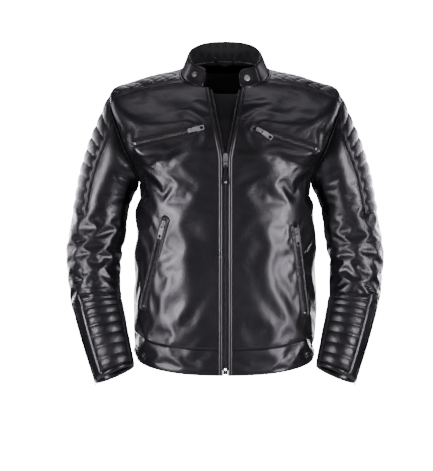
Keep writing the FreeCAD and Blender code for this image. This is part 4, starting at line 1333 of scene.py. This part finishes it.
def tooth_places(zipper, low):
    """Teeth of both rows, meshed up to the slider and held apart in it."""
    places = []
    for sign in (-1, 1):
        z = low + (TOOTH_PITCH / 2 if sign > 0 else 0)
        while z < SLIDER_HIGH:
            places.append((zipper.put((sign * (MESHED if z < SLIDER_LOW else 2.1), 0, z)), zipper.axes))
            z += TOOTH_PITCH
    return places


for kind in ("chest", "hand", "cuff"):
    strips, places = [], []
    for side in ("left", "right"):
        zipper = zips[kind, side]
        low = -zipper.length - 6.0
        for sign in (-1, 1):
            grid = flat_grid(sign * np.linspace(2.2, TAPE_HALF[kind], 4), -0.3, np.linspace(low, 6.5, 40))
            strips.append((zipper.put(grid), zipper.inward * TAPE_THICK))
        places += tooth_places(zipper, low + 1)
        if kind != "cuff":
            lips = welt(zipper, f"{kind}_welt_{side}")
            declare_one_of_pair(lips, "trim_leather", side, f"{kind}_pocket_welts")
    declare(join_strips(f"{kind}_zip_cloth", strips, TAPE), "zip_tape", f"{kind}_zip_tapes")
    declare(stamps(f"{kind}_teeth", TOOTH, places, DARK_NICKEL), "dark_metal", f"{kind}_zip_teeth")

stops = [(zipper.put((0, -0.3, -zipper.length - 8.0)), zipper.axes) for zipper in zips.values()]
declare(stamps("zip_end_stops", STOP, stops, NICKEL), "bright_metal")

# The front zip: meshed teeth below the slider, and a row along each edge of the opening above it.
FRONT_Y = -122 + TAPE_DEPTH
ZIP_END = -634
SPLIT_SHARE = share_at(0.01, ZIP_SPLIT + 9)


def parted_edge(extra, count):
    """The line beside the parted front, by a distance from the leather's edge."""
    return opening_places(SPLIT_SHARE, 0.98, extra, count)


def front_teeth(skin, sign):
    places = []
    z = ZIP_END + (TOOTH_PITCH / 2 if sign > 0 else 0)
    while z < ZIP_SPLIT + 7:
        x = 1.35 + 0.1 * max(z - ZIP_SPLIT + 5, 0)
        places.append((np.array([sign * x, FRONT_Y, z]), np.eye(3)))
        z += TOOTH_PITCH
    row = skin.even(parted_edge(-3.1, 300), TOOTH_PITCH)
    normal = skin.normal(*row.T)
    points = skin(*row.T) - normal * TAPE_DEPTH
    for point, n, t in zip(points, normal, unit(np.gradient(points, axis=0))):
        across = np.cross(n, t) * sign
        places.append((skin.out(point), np.array([skin.out(across), -skin.out(n), skin.out(t)])))
    return places


for side, sign in (("left", 1), ("right", -1)):
    skin = body_skins[side]
    teeth = stamps(f"front_teeth_{side}", TOOTH, front_teeth(skin, sign), GUNMETAL)
    declare(teeth, "dark_metal", f"front_zip_teeth_{side}")
    grid = flat_grid(sign * np.linspace(2.4, 9.6, 5), FRONT_Y - 0.3, np.linspace(ZIP_END, ZIP_SPLIT + 9, 150))
    sunk = skin.under(3.0)
    upper = np.array([skin.out(sunk(*parted_edge(extra, 120).T)) for extra in (-2.6, 0.5, 3.5, 6)])
    step = np.array((0, TAPE_THICK, 0))
    cloth = join_strips(f"front_tape_{side}", [(grid, step), (upper, step)], TAPE)
    declare(cloth, "zip_tape", f"front_zip_tape_{side}")
    cord = skin.under(2.2)(*skin.even(parted_edge(-1.3, 300), 3).T)
    declare(tube(f"opening_beading_{side}", skin.out(cord), 0.9, TRIM), "trim_leather")


# ---------------------------------------------------------------- inside: linings, bags and protectors

LINING_DEPTH = 16.0
LINING_THICK = 0.8
LINING_SEAM = upright(88, (0.03, ARMPIT - 0.01))
LINING_TOP = 0.94
LINING_CELL = 6.0
SLEEVE_LINING_DEPTH = 9.6
BAG_DEPTH = 7.2


def wrinkled(panel, height, length, seed):
    noise = np.random.default_rng(seed)
    phase = noise.uniform(0, 6.28, 6)
    x, y, z = np.moveaxis(panel.grid, -1, 0)
    ripple = 0
    for k, p in enumerate(phase):
        turn = noise.uniform(0, 3.14)
        run = x * math.cos(turn) + z * math.sin(turn) + 0.3 * y
        ripple = ripple + np.sin(run / (length * (0.6 + 0.2 * k)) + p)
    edge = smooth(np.minimum.reduce(panel.sides()) / 18)
    panel.lift = panel.lift + height * ripple / 3 * edge
    return panel


LINING_SHIFT = np.array((4, 0))
LINING_YOKE_FRONT = straight(armhole_place(YOKE_ARM_ANGLE) - LINING_SHIFT, (YOKE_NECK_ANGLE, LINING_TOP))
LINING_YOKE_REAR = straight(armhole_place(-YOKE_ARM_ANGLE) + LINING_SHIFT, (180 - YOKE_NECK_ANGLE, LINING_TOP))
LINING_FRONT = chain(LINING_SEAM, armhole_arc(176, YOKE_ARM_ANGLE) - LINING_SHIFT, LINING_YOKE_FRONT)
LINING_BACK = chain(LINING_SEAM, armhole_arc(184, 360 - YOKE_ARM_ANGLE) + LINING_SHIFT, LINING_YOKE_REAR)
deep = Skin(base_body).under(LINING_DEPTH)
linings = []
for side in ("left", "right"):
    skin = deep.mirrored(side)
    opening = along(straight((16, 0.03), (30, LINING_TOP), 200))
    front = Panel.between(skin, opening, along(LINING_FRONT, OUTER_BREAKS), size=LINING_CELL)
    linings.append(wrinkled(front, 1.2, 14, 5).build(f"lining_front_{side}", LINING, LINING_THICK))
    top = Panel.between(skin, along(LINING_YOKE_FRONT), along(LINING_YOKE_REAR), size=LINING_CELL)
    linings.append(wrinkled(top, 0.8, 12, 6).build(f"lining_shoulder_{side}", LINING, LINING_THICK))
back = Panel.between(
    deep, along(LINING_BACK, OUTER_BREAKS), along(other_half(LINING_BACK), OUTER_BREAKS), size=LINING_CELL
)
linings.append(wrinkled(back, 1.4, 15, 7).build("lining_back", LINING, LINING_THICK))
for k, piece in enumerate(linings):
    declare(piece, "lining_fabric", *(["body_lining"] if k == 0 else []))

for side in ("left", "right"):
    skin = Skin(sleeve_mm).under(SLEEVE_LINING_DEPTH).mirrored(side)
    lining = Panel(skin, np.arange(0, 360, 4.0)[:, None], np.linspace(0.05, 0.97, 110)[None], wrap=True)
    ripple = np.sin(np.radians(lining.angle) * 3 + lining.share * 34) + np.sin(lining.share * 71 + 1.3)
    lining.lift = lining.lift + 0.7 * ripple
    lining = lining.build(f"sleeve_lining_{side}", LINING, LINING_THICK)
    declare_one_of_pair(lining, "lining_fabric", side, "sleeve_linings")

for kind, angles, shares in (("chest", (24, 62), (0.345, 0.455)), ("hand", (16, 36), (0.12, 0.30))):
    for side in ("left", "right"):
        bag = Panel.patch(Skin(base_body).under(BAG_DEPTH).mirrored(side), angles, shares, size=4.0)
        bag = wrinkled(bag, 0.3, 9, 8).roll(0.9, 3.0).build(f"{kind}_bag_{side}", LINING, 2.4)
        declare_one_of_pair(bag, "lining_fabric", side, f"{kind}_pocket_bags")


def guard(name, skin, angles, shares, thick, rows, columns):
    """A foam protector with rounded blocks on it."""
    panel = Panel.patch(skin, angles, shares)
    panel = rounded_end(rounded_end(panel, 0, 22), 1, 22)
    u = (panel.angle - angles[0]) / (angles[1] - angles[0])
    v = (panel.share - shares[0]) / (shares[1] - shares[0])
    blocks = np.abs(np.sin(np.pi * u * columns) * np.sin(np.pi * v * rows)) ** 0.3
    panel.lift = panel.lift - 1.6 + 1.4 * blocks
    piece = panel.build(name, FOAM, thick)
    return piece


piece = guard("back_guard", Skin(base_body).under(2.8), (152, 208), (0.14, 0.62), 5.6, 7, 5)
declare(piece, "armour_foam", "back_protector")
for node, name, angles, shares, depth, thick in (
    ("shoulder_protectors", "shoulder_guard", (-34, 34), (0.04, 0.20), 5.6, 3.0),
    ("elbow_protectors", "elbow_guard", (-75, 15), (0.43, 0.70), 7.6, 1.8),
):
    for side in ("left", "right"):
        skin = Skin(sleeve_mm).under(depth).mirrored(side)
        piece = guard(f"{name}_{side}", skin, angles, shares, thick, 3, 3)
        declare_one_of_pair(piece, "armour_foam", side, node)

# The hanger loop, a flat leather band in an arc at the back of the neck.
LOOP_WIDE, LOOP_TALL = 21, 17.5
turns = np.radians(np.linspace(0, 180, 40))
mid = np.array([0, BODY_RINGS[-1][5] - 7.5, 16.0])
centre = np.stack([LOOP_WIDE * np.cos(turns), 0 * turns, -LOOP_TALL * np.sin(turns)], -1) + mid
outward = np.stack([np.cos(turns), 0 * turns, -np.sin(turns)], -1)
section = ((-2.5, -0.3), (-1.6, -0.7), (1.6, -0.7), (2.5, -0.3))
band = np.array([centre + outward * reach + (0, y, 0) for reach, y in section])
loop = join_strips("hanger_loop_leather", [(band, np.array((0, 1.2, 0)))], TRIM)
declare(loop, "trim_leather", "hanger_loop")

declare(stamps("stitches", STITCH, threads, THREAD), "trim_leather")


# ---------------------------------------------------------------- hardware, kept as the frame has it

METAL = {
    "front_slider": NICKEL, "front_pull_link": NICKEL, "front_zip_box": GUNMETAL, "front_pull_tab": TRIM,
    "collar_snap_cap": NICKEL, "collar_snap_stud": NICKEL,
}
for kind, side in zips:
    METAL[f"{kind}_slider_{side}"] = NICKEL
    METAL[f"{kind}_pull_{side}"] = NICKEL
for name, material in METAL.items():
    materials = frame["nodes"][name].data.materials
    materials.clear()
    materials.append(material)

low, high = (np.array(corner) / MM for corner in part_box("front_pull_tab"))
rivet_place = np.array([(low[0] + high[0]) / 2, low[1] + 0.9, low[2] + 6.6])
rivet_axes = np.array([(1.0, 0, 0), (0, 0, 1.0), (0, -1.0, 0)])
rivet = ball((3.1, 3.1, 1.25), 20, 10)
rivet = stamps("pull_tab_rivet", rivet, [(rivet_place, rivet_axes)], NICKEL, on="front_pull_tab")
declare(rivet, "bright_metal")


# ---------------------------------------------------------------- floor, light and camera

bpy.ops.mesh.primitive_plane_add(size=1.3, location=(0, 0, -1.05))
floor = bpy.context.object
floor.name = "floor"
floor.data.materials.append(Look("studio_floor", (0.86, 0.86, 0.87), 0.85).material)

# The camera sees a white world, and everything else a nearly dark one.
world = bpy.data.worlds.new("studio")
bpy.context.scene.world = world
world.use_nodes = True
tree = world.node_tree
tree.nodes.clear()
out, mix, rays, light, seen = (
    tree.nodes.new(f"ShaderNode{kind}")
    for kind in ("OutputWorld", "MixShader", "LightPath", "Background", "Background")
)
for background, colour, strength in ((seen, (1, 1, 1, 1), 20.0), (light, (0.82, 0.78, 0.88, 1), 0.05)):
    background.inputs["Color"].default_value = colour
    background.inputs["Strength"].default_value = strength
tree.links.new(rays.outputs["Is Camera Ray"], mix.inputs[0])
tree.links.new(light.outputs[0], mix.inputs[1])
tree.links.new(seen.outputs[0], mix.inputs[2])
tree.links.new(mix.outputs[0], out.inputs["Surface"])


def aim(thing, place, target):
    thing.location = place
    thing.rotation_euler = (Vector(target) - Vector(place)).to_track_quat("-Z", "Y").to_euler()
    bpy.context.collection.objects.link(thing)


# Name, place, target, size and power of each softbox.
for name, place, target, size, power in (
    ("key_left", (-1.9, -1.9, -0.36), (-0.06, 0, -0.42), (0.35, 1.1), 66),
    ("key_right", (1.9, -1.9, -0.36), (0.06, 0, -0.42), (0.35, 1.1), 62),
    ("overhead", (0, -0.3, 1.5), (0, 0, -0.2), (1.4, 0.8), 7),
    ("front_low", (0.1, -3.2, -0.7), (0, 0, -0.45), (1.0, 0.7), 1.3),
    ("rim_left", (-1.7, 0.9, 0.1), (-0.1, 0, -0.3), (0.5, 1.4), 14),
    ("rim_right", (1.7, 0.9, 0.1), (0.1, 0, -0.3), (0.5, 1.4), 14),
    ("back_left", (-1.6, 2.2, -0.2), (-0.05, 0, -0.38), (0.5, 1.2), 46),
    ("back_right", (1.6, 2.2, -0.2), (0.05, 0, -0.38), (0.5, 1.2), 46),
    ("back_top", (0, 1.8, 1.2), (0, 0, -0.2), (1.2, 0.8), 14),
):
    data = bpy.data.lights.new(name, "AREA")
    data.shape = "RECTANGLE"
    data.size, data.size_y = size
    data.energy = power
    data.color = (0.95, 0.90, 1.0)
    aim(bpy.data.objects.new(name, data), place, target)

camera_data = bpy.data.cameras.new("camera")
camera_data.sensor_fit = "HORIZONTAL"
camera_data.sensor_width = 36
camera_data.lens = 110.7
camera = bpy.data.objects.new("camera", camera_data)
aim(camera, (-0.018, -2.8, -0.303), (-0.018, 0, -0.364))
bpy.context.scene.camera = camera
